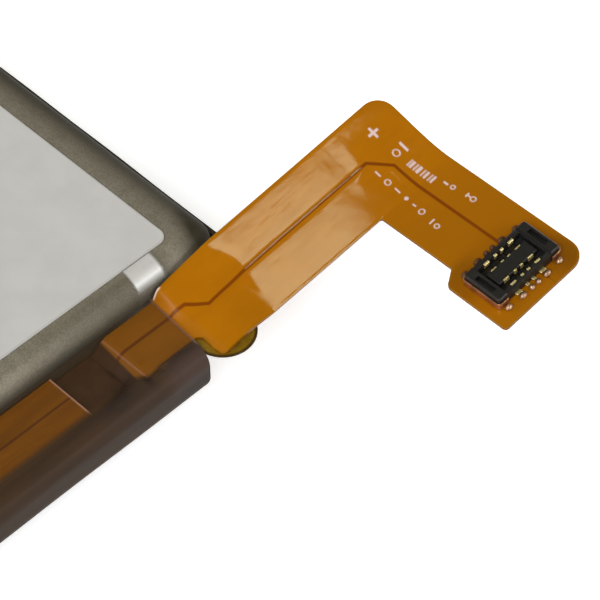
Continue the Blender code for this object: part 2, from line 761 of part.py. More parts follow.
def build_tongue():
    """The rounded end of the retaining film that shows beyond the flex's root."""
    olive = finish("olive gloss film", (0.11, 0.06, 0.012), 0.2, 0.0, alpha=0.8)
    centre = CELL_SIDE - TONGUE_INSET
    radius = TONGUE_WIDTH / 2
    end = CELL_END + TONGUE_REACH
    corners = [
        (end, centre + radius, radius * 0.98),
        (CELL_END + TONGUE_START_GAP, centre + radius, 0.1),
        (CELL_END + TONGUE_START_GAP, centre - radius, 0.1),
        (end, centre - radius, radius * 0.98),
    ]
    plate("retaining_film_tongue", corners, TONGUE_HEIGHT, TONGUE_HEIGHT + TONGUE_THICKNESS, olive)


def on_arm(x, y, radius):
    """Turns a point of the flex's plan into the socket's own measure along the tilted arm."""
    return (x - SOCKET_X, (y - SOCKET_Y) / math.cos(ARM_TILT), radius)


def lay_on_arm(items):
    """Sets pieces built round the socket's middle onto the tilted arm of the flex."""
    spot = Vector((SOCKET_X, SOCKET_Y, flex_height(SOCKET_X, SOCKET_Y))) * MM
    placing = Matrix.Translation(spot) @ Matrix.Rotation(ARM_TILT, 4, "X")
    for item in items:
        item.matrix_world = placing


def build_stiffener():
    """The stiffener behind the socket, with the outline of the flex's end."""
    resin = finish("olive satin resin", (0.16, 0.09, 0.02), 0.4, 0.0)
    high = BASE_LOW - FILM_FIT
    start = TAB_START + 0.1
    inset = STIFFENER_INSET
    corners = [
        on_arm(start, ARM_OUTER + lean(start) - inset, 0.1),
        on_arm(start, TAB_LOW + inset, 0.3),
        on_arm(FLEX_END - inset, TAB_LOW + inset, 0.15),
        on_arm(FLEX_END - inset, ARM_OUTER + lean(FLEX_END) - inset, END_RADIUS - inset),
    ]
    plate("socket_stiffener", corners, high - STIFFENER_THICKNESS, high, resin)


def contact_places():
    """Each contact as (name, side, place along the socket, width)."""
    row = (
        ("power_a", POWER_OFFSET, POWER_WIDTH),
        ("signal_a", SIGNAL_OFFSET, SIGNAL_WIDTH),
        ("signal_b", -SIGNAL_OFFSET, SIGNAL_WIDTH),
        ("power_b", -POWER_OFFSET, POWER_WIDTH),
    )
    sides = (("front", 1), ("back", -1))
    return [(f"{name}_{label}", side, place, width) for label, side in sides for name, place, width in row]


def build_housing():
    """The socket's moulded housing: walls, raised ends, a trench and an island, slotted for the contacts."""
    black = finish("black satin moulding", (0.018, 0.016, 0.018), 0.38, 0.0)
    half_x = SOCKET_WIDTH / 2
    half_y = SOCKET_LENGTH / 2
    seat = SOCKET_SEAT
    wall_top = seat + SOCKET_WALL_HEIGHT
    top = wall_top + SOCKET_END_RISE
    corners = [
        (half_x, half_y, SOCKET_CORNER_RADIUS),
        (-half_x, half_y, SOCKET_CORNER_RADIUS),
        (-half_x, -half_y, SOCKET_CORNER_RADIUS),
        (half_x, -half_y, SOCKET_CORNER_RADIUS),
    ]
    housing = plate("socket_housing", corners, seat, top, black, bevel=0.05, segments=1)
    inner_y = half_y - END_WALL
    trench_x = half_x - SIDE_WALL
    trench_y = inner_y - TRENCH_LEDGE
    island_x = ISLAND_WIDTH / 2
    island_y = trench_y - 0.12
    low_wall = ((-half_x - 0.1, -inner_y, wall_top), (half_x + 0.1, inner_y, top + 0.1))
    trench = ((-trench_x, -trench_y, seat + SOCKET_FLOOR), (trench_x, trench_y, top + 0.2))
    combine(housing, cutter_of("wall_helper", [low_wall]), "DIFFERENCE")
    combine(housing, cutter_of("trench_helper", [trench]), "DIFFERENCE")
    island = block(
        "island_helper",
        (-island_x, -island_y, seat + SOCKET_FLOOR / 2),
        (island_x, island_y, wall_top - ISLAND_DROP),
        None,
        bevel=0.03,
    )
    combine(housing, island, "UNION")
    notches = []
    slots = []
    for _, side, place, width in contact_places():
        room = width / 2 + SLOT_FIT
        inner = side * (CONTACT_INNER_ARM - SLOT_FIT)
        outer = side * (CONTACT_OUTER_ARM + CONTACT_ARM_THICKNESS + SLOT_FIT)
        near = outer - side * 0.02
        far = side * (half_x + 0.2)
        notch_top = seat + CONTACT_THICKNESS + 2 * SLOT_FIT
        slots.append(
            (
                (min(inner, outer), place - room, seat - 0.1),
                (max(inner, outer), place + room, wall_top + 0.2),
            )
        )
        notches.append(
            (
                (min(near, far), place - room, seat - 0.1),
                (max(near, far), place + room, notch_top),
            )
        )
    combine(housing, cutter_of("slot_helper", slots), "DIFFERENCE")
    combine(housing, cutter_of("notch_helper", notches), "DIFFERENCE")
    pockets = []
    for end in (1, -1):
        inside = end * (inner_y + 0.12)
        outside = end * (half_y - 0.14)
        pockets.append(
            (
                (-0.5, min(inside, outside), wall_top - 0.12),
                (0.5, max(inside, outside), top + 0.2),
            )
        )
    combine(housing, cutter_of("end_pocket_helper", pockets), "DIFFERENCE")


def build_contacts():
    """The socket's contacts, each with two spring arms and a foot that runs out to its solder joint."""
    gold = finish("polished gold plate", (0.9, 0.66, 0.25), 0.2, 1.0)
    tin = finish("dull tin solder", (0.5, 0.48, 0.46), 0.35, 1.0)
    low = FIT / 2
    foot = low + CONTACT_THICKNESS
    thick = CONTACT_ARM_THICKNESS
    profile = [
        (CONTACT_INNER_ARM, low),
        (CONTACT_REACH, low),
        (CONTACT_REACH, foot),
        (CONTACT_OUTER_ARM + thick, foot),
        (CONTACT_OUTER_ARM + thick, CONTACT_OUTER_TOP - 0.04),
        (CONTACT_OUTER_ARM + thick * 0.7, CONTACT_OUTER_TOP),
        (CONTACT_OUTER_ARM, CONTACT_OUTER_TOP),
        (CONTACT_OUTER_ARM - 0.04, CONTACT_OUTER_TOP - 0.06),
        (CONTACT_OUTER_ARM, CONTACT_OUTER_TOP - 0.14),
        (CONTACT_OUTER_ARM, foot),
        (CONTACT_INNER_ARM + thick, foot),
        (CONTACT_INNER_ARM + thick, CONTACT_INNER_TOP - 0.08),
        (CONTACT_INNER_ARM + thick * 0.6, CONTACT_INNER_TOP),
        (CONTACT_INNER_ARM, CONTACT_INNER_TOP),
    ]
    for name, side, place, width in contact_places():
        section = [(side * x, SOCKET_SEAT + z) for x, z in profile]
        sweep(f"contact_{name}", section, place - width / 2, width, gold)
        centre = side * (CONTACT_REACH + FIT + SOLDER_LENGTH / 2)
        solder_fillet(f"solder_{name}", centre, place, SOLDER_LENGTH, width + 2 * SOLDER_SPREAD, tin)


def solder_fillet(name, x, y, length, width, surface):
    """A rounded bead of solder on the flex."""
    bm = bmesh.new()
    bmesh.ops.create_uvsphere(bm, u_segments=12, v_segments=8, radius=1.0)
    size = Vector((length / 2, width / 2, SOLDER_HEIGHT)) * MM
    bmesh.ops.scale(bm, vec=size, verts=bm.verts)
    whole = bm.verts[:] + bm.edges[:] + bm.faces[:]
    bmesh.ops.bisect_plane(bm, geom=whole, plane_co=(0, 0, 0), plane_no=(0, 0, 1), clear_inner=True)
    rim = [edge for edge in bm.edges if edge.is_boundary]
    bmesh.ops.holes_fill(bm, edges=rim)
    spot = Vector((x, y, SOCKET_SEAT + FIT / 2)) * MM
    bmesh.ops.translate(bm, vec=spot, verts=bm.verts)
    node_from(name, bm, surface)


def build_holders():
    """The bent plates round the socket's ends, each held by a bead of solder on either side."""
    bronze = finish("copper tinned bronze", (0.62, 0.36, 0.2), 0.32, 1.0)
    tin = finish("dull tin solder", (0.5, 0.48, 0.46), 0.35, 1.0)
    middle = FIT + HOLDER_THICKNESS / 2
    across = SOCKET_WIDTH / 2 + middle
    along = SOCKET_LENGTH / 2 + middle
    leg_end = SOCKET_LENGTH / 2 - HOLDER_LEG
    low = SOCKET_SEAT + FIT / 2
    high = SOCKET_SEAT + HOLDER_HEIGHT
    radius = SOCKET_CORNER_RADIUS + middle
    for name, end in (("far", 1), ("near", -1)):
        line = [
            (across, end * leg_end, 0),
            (across, end * along, radius),
            (-across, end * along, radius),
            (-across, end * leg_end, 0),
        ]
        outline = offset_line(line, HOLDER_THICKNESS / 2)
        outline += offset_line(line, -HOLDER_THICKNESS / 2)[::-1]
        plate(f"socket_holder_{name}", outline, low, high, bronze)
        for label, side in (("front", 1), ("back", -1)):
            x = side * (across + HOLDER_THICKNESS / 2 + FIT + SOLDER_LENGTH / 2)
            y = end * (leg_end + HOLDER_SOLDER_WIDTH / 2)
            solder_fillet(f"solder_holder_{name}_{label}", x, y, SOLDER_LENGTH, HOLDER_SOLDER_WIDTH, tin)


def main():
    """Builds the battery in millimetres at its real size."""
    clear_scene()
    build_cell()
    build_board()
    build_components()
    build_tabs()
    build_wrap()
    build_shoulder_tape()
    build_tongue()
    build_flex()
    build_joint_tape()
    before = set(bpy.data.objects)
    build_stiffener()
    build_housing()
    build_contacts()
    build_holders()
    lay_on_arm([item for item in bpy.data.objects if item not in before])


main()
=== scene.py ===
"""A mobile phone battery pack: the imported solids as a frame, finer skins over them, and a plain studio."""

import logging
import math
from dataclasses import dataclass, field
from enum import Enum

import bmesh
import bpy
import numpy as np
from mathutils import Matrix, Vector


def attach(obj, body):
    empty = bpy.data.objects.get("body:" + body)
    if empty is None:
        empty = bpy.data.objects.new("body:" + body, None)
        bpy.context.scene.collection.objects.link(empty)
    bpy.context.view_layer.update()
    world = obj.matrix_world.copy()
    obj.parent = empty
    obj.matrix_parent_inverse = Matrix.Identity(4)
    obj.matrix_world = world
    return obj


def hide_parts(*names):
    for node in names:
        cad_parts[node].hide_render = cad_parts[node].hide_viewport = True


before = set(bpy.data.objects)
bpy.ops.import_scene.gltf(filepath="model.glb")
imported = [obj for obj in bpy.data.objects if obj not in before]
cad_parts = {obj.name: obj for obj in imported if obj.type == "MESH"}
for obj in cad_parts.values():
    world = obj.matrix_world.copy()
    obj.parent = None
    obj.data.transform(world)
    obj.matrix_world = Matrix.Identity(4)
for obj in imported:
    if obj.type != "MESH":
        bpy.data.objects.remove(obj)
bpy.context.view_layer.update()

MM = 0.001
FILM_GAP = 0.01
SHARP_FROM = math.radians(35)
ROUND_FROM = math.radians(30)
FLAT_WITHIN = math.radians(1)
SAME_POINT = 2e-7
Triple = tuple[float, float, float]
Range = tuple[float, float]
Corners = tuple[Triple, ...]
Surface = tuple[np.ndarray, list[np.ndarray]]
Fields = dict[str, np.ndarray]

log = logging.getLogger("battery")


def paint(*shown: float) -> Triple:
    """Turns a colour as a picture shows it into the linear colour that a shader takes.

    Formula: the standard screen curve, undone for each of the three values.

    Args:
        shown: the red, green and blue values, 0 to 255.

    Returns:
        The three linear values.
    """
    share = np.array(shown) / 255
    linear = np.where(share > 0.04045, ((share + 0.055) / 1.055) ** 2.4, share / 12.92)
    return tuple(float(value) for value in linear)


def ease(place: np.ndarray, start: float, end: float) -> np.ndarray:
    """Climbs smoothly from 0 at the start to 1 at the end.

    Formula: 3 s squared minus 2 s cubed, with s the share of the way, held between 0 and 1.

    Args:
        place: where along the way.
        start: where the climb begins.
        end: where it ends; it may be under the start, and the climb then runs backwards.

    Returns:
        The height reached.
    """
    share = np.clip((place - start) / (end - start), 0, 1)
    return share * share * (3 - 2 * share)


def ramp_sum(place: np.ndarray, start: float, end: float) -> np.ndarray:
    """The height gained when a slope grows smoothly from 0 to 1 between two places.

    Formula: the integral of ease, which is span times (s cubed minus half of s to the fourth) inside,
    and half the span plus the distance past the end after it.

    Args:
        place: where along the way.
        start: where the slope begins to grow.
        end: where it is whole.

    Returns:
        The height gained.
    """
    span = end - start
    share = np.clip((place - start) / span, 0, 1)
    return np.where(place > end, span / 2 + place - end, span * (share**3 - share**4 / 2))


def bell(place: np.ndarray, width: float) -> np.ndarray:
    """A soft hump, 1 at nought: e to the power of minus the square of place over width."""
    return np.exp(-((place / width) ** 2))


def unit(vectors: np.ndarray) -> np.ndarray:
    """Vectors brought to length one, row by row."""
    return vectors / np.maximum(np.linalg.norm(vectors, axis=-1, keepdims=True), 1e-12)


def points_at(x: np.ndarray, y: np.ndarray, z: np.ndarray) -> np.ndarray:
    """Points from their places along the three axes, each spread over the shape that all share."""
    return np.stack(np.broadcast_arrays(x, y, z), axis=-1)


def rounded_line(corners: Corners, arc_points: int = 9) -> np.ndarray:
    """Turns an open line of (x, y, radius) corners into points, each corner rounded.

    Formula: an arc of radius r touches both sides at r over the tangent of half the corner's angle,
    and its points turn evenly from the first touch to the second.

    Args:
        corners: the line's corners with their radii.
        arc_points: how many points each arc has.

    Returns:
        The points, one row each.
    """
    pieces = [np.array([corners[0][:2]])]
    for before, here, after in zip(corners, corners[1:], corners[2:]):
        spot, radius = np.array(here[:2]), here[2]
        if not radius:
            pieces.append(spot[None])
            continue
        back = unit(np.array(before[:2]) - spot)
        ahead = unit(np.array(after[:2]) - spot)
        half = math.acos(float(np.clip(back @ ahead, -1, 1))) / 2
        reach = radius / math.tan(half)
        centre = spot + unit(back + ahead) * radius / math.sin(half)
        turn = math.pi - 2 * half
        share = np.linspace(0, 1, arc_points)[:, None]
        first = spot + back * reach - centre
        last = spot + ahead * reach - centre
        arc = (np.sin((1 - share) * turn) * first + np.sin(share * turn) * last) / math.sin(turn)
        pieces.append(centre + arc)
    pieces.append(np.array([corners[-1][:2]]))
    return np.concatenate(pieces)


def lengths_along(line: np.ndarray) -> np.ndarray:
    """The distance from the line's start to each of its points, measured along it."""
    return np.concatenate([[0.0], np.cumsum(np.linalg.norm(np.diff(line, axis=0), axis=1))])


def at_lengths(line: np.ndarray, wanted: np.ndarray) -> np.ndarray:
    """The points of a line at given lengths along it, by straight parts between its own points."""
    along = lengths_along(line)
    return np.stack([np.interp(wanted, along, line[:, axis]) for axis in range(line.shape[1])], axis=-1)


def evenly(line: np.ndarray, count: int) -> np.ndarray:
    """The points of a line at even steps along it."""
    return at_lengths(line, np.linspace(0, lengths_along(line)[-1], count))


def from_line(points: np.ndarray, line: np.ndarray) -> tuple[np.ndarray, np.ndarray]:
    """How far points lie from a line in the plane, and how far along it they are.

    Formula: for each straight part, the foot of the point is held inside the part; the nearest part
    counts, and the distance is positive on the right-hand side of the line's direction.

    Args:
        points: the points, one row each.
        line: the line's points in order.

    Returns:
        The signed distances and the lengths along the line.
    """
    nearest = np.full(len(points), np.inf)
    signed = np.zeros(len(points))
    place = np.zeros(len(points))
    for start, end, passed in zip(line, line[1:], lengths_along(line)):
        side = end - start
        length = max(float(np.linalg.norm(side)), 1e-9)
        offset = points - start
        share = np.clip(offset @ side / length**2, 0, 1)
        gap = np.linalg.norm(offset - share[:, None] * side, axis=1)
        turned = side[1] * offset[:, 0] - side[0] * offset[:, 1]
        closer = gap < nearest
        nearest = np.where(closer, gap, nearest)
        signed = np.where(closer, np.where(turned >= 0, gap, -gap), signed)
        place = np.where(closer, passed + share * length, place)
    return signed, place


def grid_faces(rows: int, columns: int, wrapped: bool = False) -> np.ndarray:
    """The four-sided faces of a grid of points, row by row.

    Formula: corner (i, j) joins (i, j + 1), (i + 1, j + 1) and (i + 1, j); when wrapped, the last
    column joins the first.

    Args:
        rows: how many rows of points.
        columns: how many points in a row.
        wrapped: whether each row closes on itself.

    Returns:
        The faces, four point numbers each.
    """
    row, column = np.meshgrid(np.arange(rows - 1), np.arange(columns - (not wrapped)), indexing="ij")
    beside = (column + 1) % columns
    faces = [row * columns + column, row * columns + beside]
    faces += [(row + 1) * columns + beside, (row + 1) * columns + column]
    return np.stack(faces, axis=-1).reshape(-1, 4)


def closed_sheet(upper: np.ndarray, lower: np.ndarray) -> Surface:
    """Closes two grids of points, one above the other, into one thin body.

    Formula: both grids keep their faces, the lower ones turned over, and a band of faces joins the
    outermost points of the one with those of the other.

    Args:
        upper: the upper grid, rows by columns by three.
        lower: the lower grid, of the same shape.

    Returns:
        The points and the faces.
    """
    rows, columns = upper.shape[:2]
    count = rows * columns
    faces = grid_faces(rows, columns)
    number = np.arange(count).reshape(rows, columns)
    rim = np.concatenate([number[0, :-1], number[:-1, -1], number[-1, :0:-1], number[:0:-1, 0]])
    beside = np.roll(rim, -1)
    band = np.stack([beside, rim, rim + count, beside + count], axis=-1)
    points = np.concatenate([upper.reshape(-1, 3), lower.reshape(-1, 3)])
    return points, [faces, faces[:, ::-1] + count, band]


def on_both_sides(**fields: np.ndarray) -> Fields:
    """Numbers for a closed sheet's points, whose lower side repeats those of the upper."""
    return {name: np.tile(values.ravel(), 2) for name, values in fields.items()}


def closed_rings(rings: np.ndarray) -> Surface:
    """Closes a stack of rings into one body, with a flat face over the first and the last.

    Args:
        rings: the rings' points, rings by points by three.

    Returns:
        The points and the faces.
    """
    rows, columns = rings.shape[:2]
    number = np.arange(rows * columns).reshape(rows, columns)
    return rings.reshape(-1, 3), [grid_faces(rows, columns, True), number[:1, ::-1], number[-1:]]


def facing_out(surface: Surface) -> Surface:
    """Turns a closed body's faces outwards.

    Formula: the body's volume is the sum over its triangles of a dot (b cross c) over six, and where
    it is negative every face is turned over.

    Args:
        surface: the points and the faces.

    Returns:
        The same points, and the faces the right way round.
    """
    points, faces = surface
    volume = 0.0
    for block in faces:
        first, ahead, beyond = points[block[:, :1]], points[block[:, 1:-1]], points[block[:, 2:]]
        volume += float((first * np.cross(ahead, beyond)).sum())
    return (points, [block[:, ::-1] for block in faces]) if volume < 0 else surface


def slab_rings(half_x: float, half_y: float, corner: float, insets: np.ndarray, heights: np.ndarray,
               arc_points: int, side_points: int) -> np.ndarray:
    """The rings of a rounded slab: its outline drawn in by an inset at each height.

    Formula: a ring is a rounded rectangle whose half sides are less by the inset, and whose corner
    radius is less by it too but never under a fiftieth of the corner; each corner's points turn evenly
    through a quarter, and the straight sides between are shared evenly.

    Args:
        half_x: half the length.
        half_y: half the width.
        corner: the corner radius in plan.
        insets: how far each ring is drawn in.
        heights: each ring's height.
        arc_points: points in each corner.
        side_points: extra points along each straight side.

    Returns:
        The rings' points, rings by points by three, round the origin.
    """
    radius = np.maximum(corner - insets, corner / 50)[:, None]
    turn = np.linspace(0, math.pi / 2, arc_points)
    arcs = []
    for quarter, (sign_x, sign_y) in enumerate([(1, 1), (-1, 1), (-1, -1), (1, -1)]):
        angle = turn + quarter * math.pi / 2
        across = sign_x * (half_x - insets[:, None] - radius) + radius * np.cos(angle)
        along = sign_y * (half_y - insets[:, None] - radius) + radius * np.sin(angle)
        arcs.append(np.stack([across, along], axis=-1))
    parts = []
    share = np.linspace(0, 1, side_points + 2)[1:-1, None]
    for arc, following in zip(arcs, arcs[1:] + arcs[:1]):
        parts += [arc, arc[:, -1:] + share[None] * (following[:, :1] - arc[:, -1:])]
    plan = np.concatenate(parts, axis=1)
    return points_at(plan[..., 0], plan[..., 1], heights[:, None])


def edge_profile(thickness: float, top: float, bottom: float, steps: int,
                 flat: tuple[float, ...] = ()) -> tuple[np.ndarray, np.ndarray]:
    """The insets and heights of a slab's side, from its underside over both rounded edges to its top.

    Formula: each edge is a quarter circle; the inset is the radius times (1 minus the cosine) and the
    height is the radius times the sine, measured from the edge's own centre.

    Args:
        thickness: the slab's thickness.
        top: the upper edge's radius.
        bottom: the lower edge's radius.
        steps: rings in each edge.
        flat: further rings on the flat top, by their distance from the upper edge.

    Returns:
        The insets and the heights.
    """
    turn = np.linspace(0, math.pi / 2, steps)
    insets = [bottom * (1 - np.sin(turn)), top * (1 - np.cos(turn)), top + np.array(flat)]
    heights = [bottom * (1 - np.cos(turn)), thickness - top + top * np.sin(turn), [thickness] * len(flat)]
    return np.concatenate(insets), np.concatenate(heights)


def linked(name: str, data: bpy.types.ID) -> bpy.types.Object:
    """Makes an object of some data and puts it into the scene.

    Args:
        name: the object's name.
        data: what it holds, such as a mesh or a lamp.

    Returns:
        The object.
    """
    thing = bpy.data.objects.new(name, data)
    bpy.context.scene.collection.objects.link(thing)
    return thing


def stand(thing: bpy.types.Object, side: Vector, rise: Vector, place: Triple) -> None:
    """Stands an object at a place, with its own x and y along two given directions."""
    thing.matrix_world = Matrix((*zip(side, rise, side.cross(rise), place), (0, 0, 0, 1)))


def present(piece: bpy.types.Object, slot: str, *nodes: str) -> None:
    """Smooths a piece, fixes it to the pack, hides the frame nodes that it stands for, and logs it with its
    slot and those nodes.

    Args:
        piece: the finished piece.
        slot: the record's material slot.
        nodes: the frame nodes it replaces.
    """
    piece.data.shade_smooth()
    piece.data.set_sharp_from_angle(angle=SHARP_FROM)
    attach(piece, "root")
    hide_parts(*nodes)
    log.info("piece %s, slot %s, %d faces, in place of %s", piece.name, slot, len(piece.data.polygons), nodes)


def make_piece(name: str, surface: Surface, material: bpy.types.Material, slot: str, node: str,
               fields: Fields | None = None) -> None:
    """Makes a piece from points in millimetres, its faces outwards and its shading smooth.

    Args:
        name: the piece's name.
        surface: the points and the faces.
        material: what it is finished with.
        slot: the record's material slot.
        node: the frame node it replaces.
        fields: numbers for each point that its material reads, by name.
    """
    points, faces = facing_out(surface)
    mesh = bpy.data.meshes.new(name)
    mesh.from_pydata((points * MM).tolist(), [], [face for block in faces for face in block.tolist()])
    for field_name, values in (fields or {}).items():
        layer = mesh.attributes.new(field_name, "FLOAT", "POINT")
        layer.data.foreach_set("value", np.ascontiguousarray(values, dtype=np.float32))
    mesh.validate()
    mesh.materials.append(material)
    present(linked(name, mesh), slot, node)


def refine_node(node: str, name: str, material: bpy.types.Material, slot: str, rounding: float) -> None:
    """Makes a piece from a frame node's mesh, with its triangles joined to flat faces and its edges rounded.

    Args:
        node: the frame node.
        name: the new piece's name.
        material: what it is finished with.
        slot: the record's material slot.
        rounding: the width of the rounding along its edges, in millimetres.
    """
    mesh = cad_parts[node].data.copy()
    mesh.name = name
    worked = bmesh.new()
    worked.from_mesh(mesh)
    bmesh.ops.remove_doubles(worked, verts=worked.verts, dist=SAME_POINT)
    bmesh.ops.dissolve_limit(worked, angle_limit=FLAT_WITHIN, verts=worked.verts, edges=worked.edges)
    worked.to_mesh(mesh)
    worked.free()
    mesh.materials.clear()
    mesh.materials.append(material)
    piece = linked(name, mesh)
    bevel = piece.modifiers.new("rounding", "BEVEL")
    bevel.width = rounding * MM
    bevel.segments = 2
    bevel.limit_method = "ANGLE"
    bevel.angle_limit = ROUND_FROM
    bevel.harden_normals = False
    present(piece, slot, node)


class Reading:
    """A number inside a node tree; Python's operators on it add Math nodes."""

    def __init__(self, book: "NodeBook", socket: bpy.types.NodeSocket) -> None:
        """Holds the socket and the tree it belongs to."""
        self.book = book
        self.socket = socket

    def _worked(self, operation: str, *values: "Reading | float") -> "Reading":
        """Adds one Math node for an operation on the given values."""
        node = self.book.add("ShaderNodeMath", {"operation": operation}, dict(enumerate(values)))
        return Reading(self.book, node.outputs[0])

    def __add__(self, other: "Reading | float") -> "Reading":
        """This plus the other."""
        return self._worked("ADD", self, other)

    def __radd__(self, other: float) -> "Reading":
        """The other plus this."""
        return self._worked("ADD", other, self)

    def __sub__(self, other: "Reading | float") -> "Reading":
        """This minus the other."""
        return self._worked("SUBTRACT", self, other)

    def __rsub__(self, other: float) -> "Reading":
        """The other minus this."""
        return self._worked("SUBTRACT", other, self)

    def __mul__(self, other: "Reading | float") -> "Reading":
        """This times the other."""
        return self._worked("MULTIPLY", self, other)

    def __rmul__(self, other: float) -> "Reading":
        """The other times this."""
        return self._worked("MULTIPLY", other, self)

    def __abs__(self) -> "Reading":
        """This without its sign."""
        return self._worked("ABSOLUTE", self)

    def greater(self, other: "Reading | float") -> "Reading":
        """The greater of this and the other."""
        return self._worked("MAXIMUM", self, other)

    def between(self, start: float, end: float) -> "Reading":
        """Climbs smoothly from 0 to 1 as this goes from the start to the end.

        Args:
            start: where the climb begins.
            end: where it ends; it may be under the start, and the climb then runs backwards.

        Returns:
            The height reached.
        """
        values = {"Value": self, "From Min": min(start, end), "From Max": max(start, end)}
        node = self.book.add("ShaderNodeMapRange", {"interpolation_type": "SMOOTHSTEP"}, values)
        climb = Reading(self.book, node.outputs[0])
        return climb if start < end else 1 - climb

    def about(self, middle: float, half: float) -> "Reading":
        """Climbs smoothly from 0 to 1 round a middle, within half the climb's length on either side."""
        return self.between(middle - half, middle + half)


class NodeBook:
    """A node tree; every node but a Math one comes straight from its add method."""

    def __init__(self, tree: bpy.types.NodeTree) -> None:
        """Holds the tree."""
        self.tree = tree

    def add(self, kind: str, settings: dict | None = None, values: dict | None = None) -> bpy.types.Node:
        """Adds a node, sets its own settings first, then its sockets' values or links.

        Args:
            kind: the node's type.
            settings: its settings by name; "stops" gives a ramp's (place, grey) pairs.
            values: its sockets by name or number, each a number, a tuple, a Reading or a socket.

        Returns:
            The node.
        """
        node = self.tree.nodes.new(kind)
        for name, setting in (settings or {}).items():
            if name == "stops":
                for stop, (place, grey) in zip(node.color_ramp.elements, setting):
                    stop.position = place
                    stop.color = (grey, grey, grey, 1.0)
            else:
                setattr(node, name, setting)
        for name, value in (values or {}).items():
            self.feed(node, name, value)
        return node

    def feed(self, node: bpy.types.Node, name: str | int, value: object) -> None:
        """Gives a node's socket a number, a colour or a link.

        Args:
            node: the node.
            name: the socket's name or number.
            value: what it gets.
        """
        socket = node.inputs[name]
        if isinstance(value, Reading):
            self.tree.links.new(value.socket, socket)
        elif isinstance(value, bpy.types.NodeSocket):
            self.tree.links.new(value, socket)
        elif socket.type == "RGBA" and len(value) == 3:
            socket.default_value = (*value, 1.0)
        else:
            socket.default_value = value

    def mix(self, first: object, *coats: tuple[Reading, object]) -> bpy.types.NodeSocket:
        """Lays colours over a first one, each by its own share.

        Args:
            first: the lowest colour or its socket.
            coats: the shares and the colours or sockets laid over it, from the bottom up.

        Returns:
            The socket of the colour that comes out.
        """
        for share, colour in coats:
            node = self.add("ShaderNodeMix", {"data_type": "RGBA"}, {0: share, 6: first, 7: colour})
            first = node.outputs[2]
        return first


class MaterialBook(NodeBook):
    """One material and its nodes, read on the piece's own coordinates."""

    def __init__(self, name: str) -> None:
        """Starts a material with its output and its shader.

        Args:
            name: the material's name.
        """
        self.material = bpy.data.materials.new(name)
        self.material.use_nodes = True
        super().__init__(self.material.node_tree)
        self.tree.nodes.clear()
        self.shader = self.add("ShaderNodeBsdfPrincipled")
        self.add("ShaderNodeOutputMaterial", values={"Surface": self.shader.outputs[0]})
        self.spot = self.add("ShaderNodeTexCoord").outputs["Object"]

    def axis(self, number: int) -> Reading:
        """The point's place along one axis, in millimetres."""
        parts = self.add("ShaderNodeSeparateXYZ", values={0: self.spot})
        return Reading(self, parts.outputs[number]) * 1000.0

    def noise(self, size: float, detail: float = 3.0, rough: float = 0.55, stretch: Triple | None = None,
              turn: float = 0.0) -> Reading:
        """Cloudy noise from 0 to 1.

        Args:
            size: the width of a cloud in millimetres.
            detail: how many finer layers it has.
            rough: how strong the finer layers are.
            stretch: the stretch along each axis.
            turn: the turn about the upright axis in degrees.

        Returns:
            The noise.
        """
        spot = self.spot
        if stretch:
            values = {"Vector": spot, "Scale": stretch, "Rotation": (0.0, 0.0, math.radians(turn))}
            spot = self.add("ShaderNodeMapping", values=values).outputs[0]
        values = {"Vector": spot, "Scale": 1 / (size * MM), "Detail": detail, "Roughness": rough}
        return Reading(self, self.add("ShaderNodeTexNoise", values=values).outputs["Fac"])

    def stored(self, name: str) -> Reading:
        """A number that the piece's mesh holds for each point."""
        return Reading(self, self.add("ShaderNodeAttribute", {"attribute_name": name}).outputs["Fac"])

    def relief(self, height: Reading, depth: float) -> None:
        """Bumps the surface by a height from 0 to 1, where 1 stands for the depth in millimetres."""
        bump = self.add("ShaderNodeBump", values={"Strength": 1.0, "Distance": depth * MM, "Height": height})
        self.feed(self.shader, "Normal", bump.outputs[0])

    def surface(self, **values: object) -> None:
        """Sets the shader's sockets: a name's underscores stand for the spaces in the socket's name."""
        for name, value in values.items():
            self.feed(self.shader, name.replace("_", " ").title().replace("Ior", "IOR"), value)


@dataclass(frozen=True)
class Finish:
    """What a piece is finished with; each kind sets the shader in its own way."""

    name: str

    def lay(self, book: MaterialBook) -> None:
        """Sets the shader of the material that it gets."""
        raise NotImplementedError

    def dress(self) -> bpy.types.Material:
        """Makes the material.

        Returns:
            The material, its shader set by this finish.
        """
        book = MaterialBook(self.name)
        self.lay(book)
        return book.material


@dataclass(frozen=True)
class Grain(Finish):
    """A plain finish with grain: two colours in clouds, an uneven gloss and a fine relief.

    Its colours stand as a picture shows them, 0 to 255.
    """

    colour: Triple
    shade: Triple
    cloud: float
    roughness: float
    swing: float
    metallic: float
    depth: float
    grain: float = 0.08
    level: float = 0.5

    def lay(self, book: MaterialBook) -> None:
        """Sets the shader from two sizes of clouds.

        Args:
            book: the material.
        """
        clouds = book.noise(self.cloud, 4.0, 0.6)
        fine = book.noise(self.grain, 2.0, 0.5)
        share = (clouds * 0.75 + fine * 0.25).between(0.35, 0.68)
        plain = book.mix(paint(*self.colour), (share, paint(*self.shade)))
        self.tone(book, plain, self.roughness + (clouds - 0.5) * self.swing, fine)
        book.surface(specular_ior_level=self.level)
        book.relief(fine, self.depth)

    def tone(self, book: MaterialBook, plain: bpy.types.NodeSocket, gloss: Reading, fine: Reading) -> None:
        """Sets the colour, the roughness and the metal.

        Args:
            book: the material.
            plain: the clouded colour.
            gloss: the roughness with its slow swing.
            fine: the finer clouds.
        """
        book.surface(base_color=plain, roughness=gloss + (fine - 0.5) * self.swing, metallic=self.metallic)


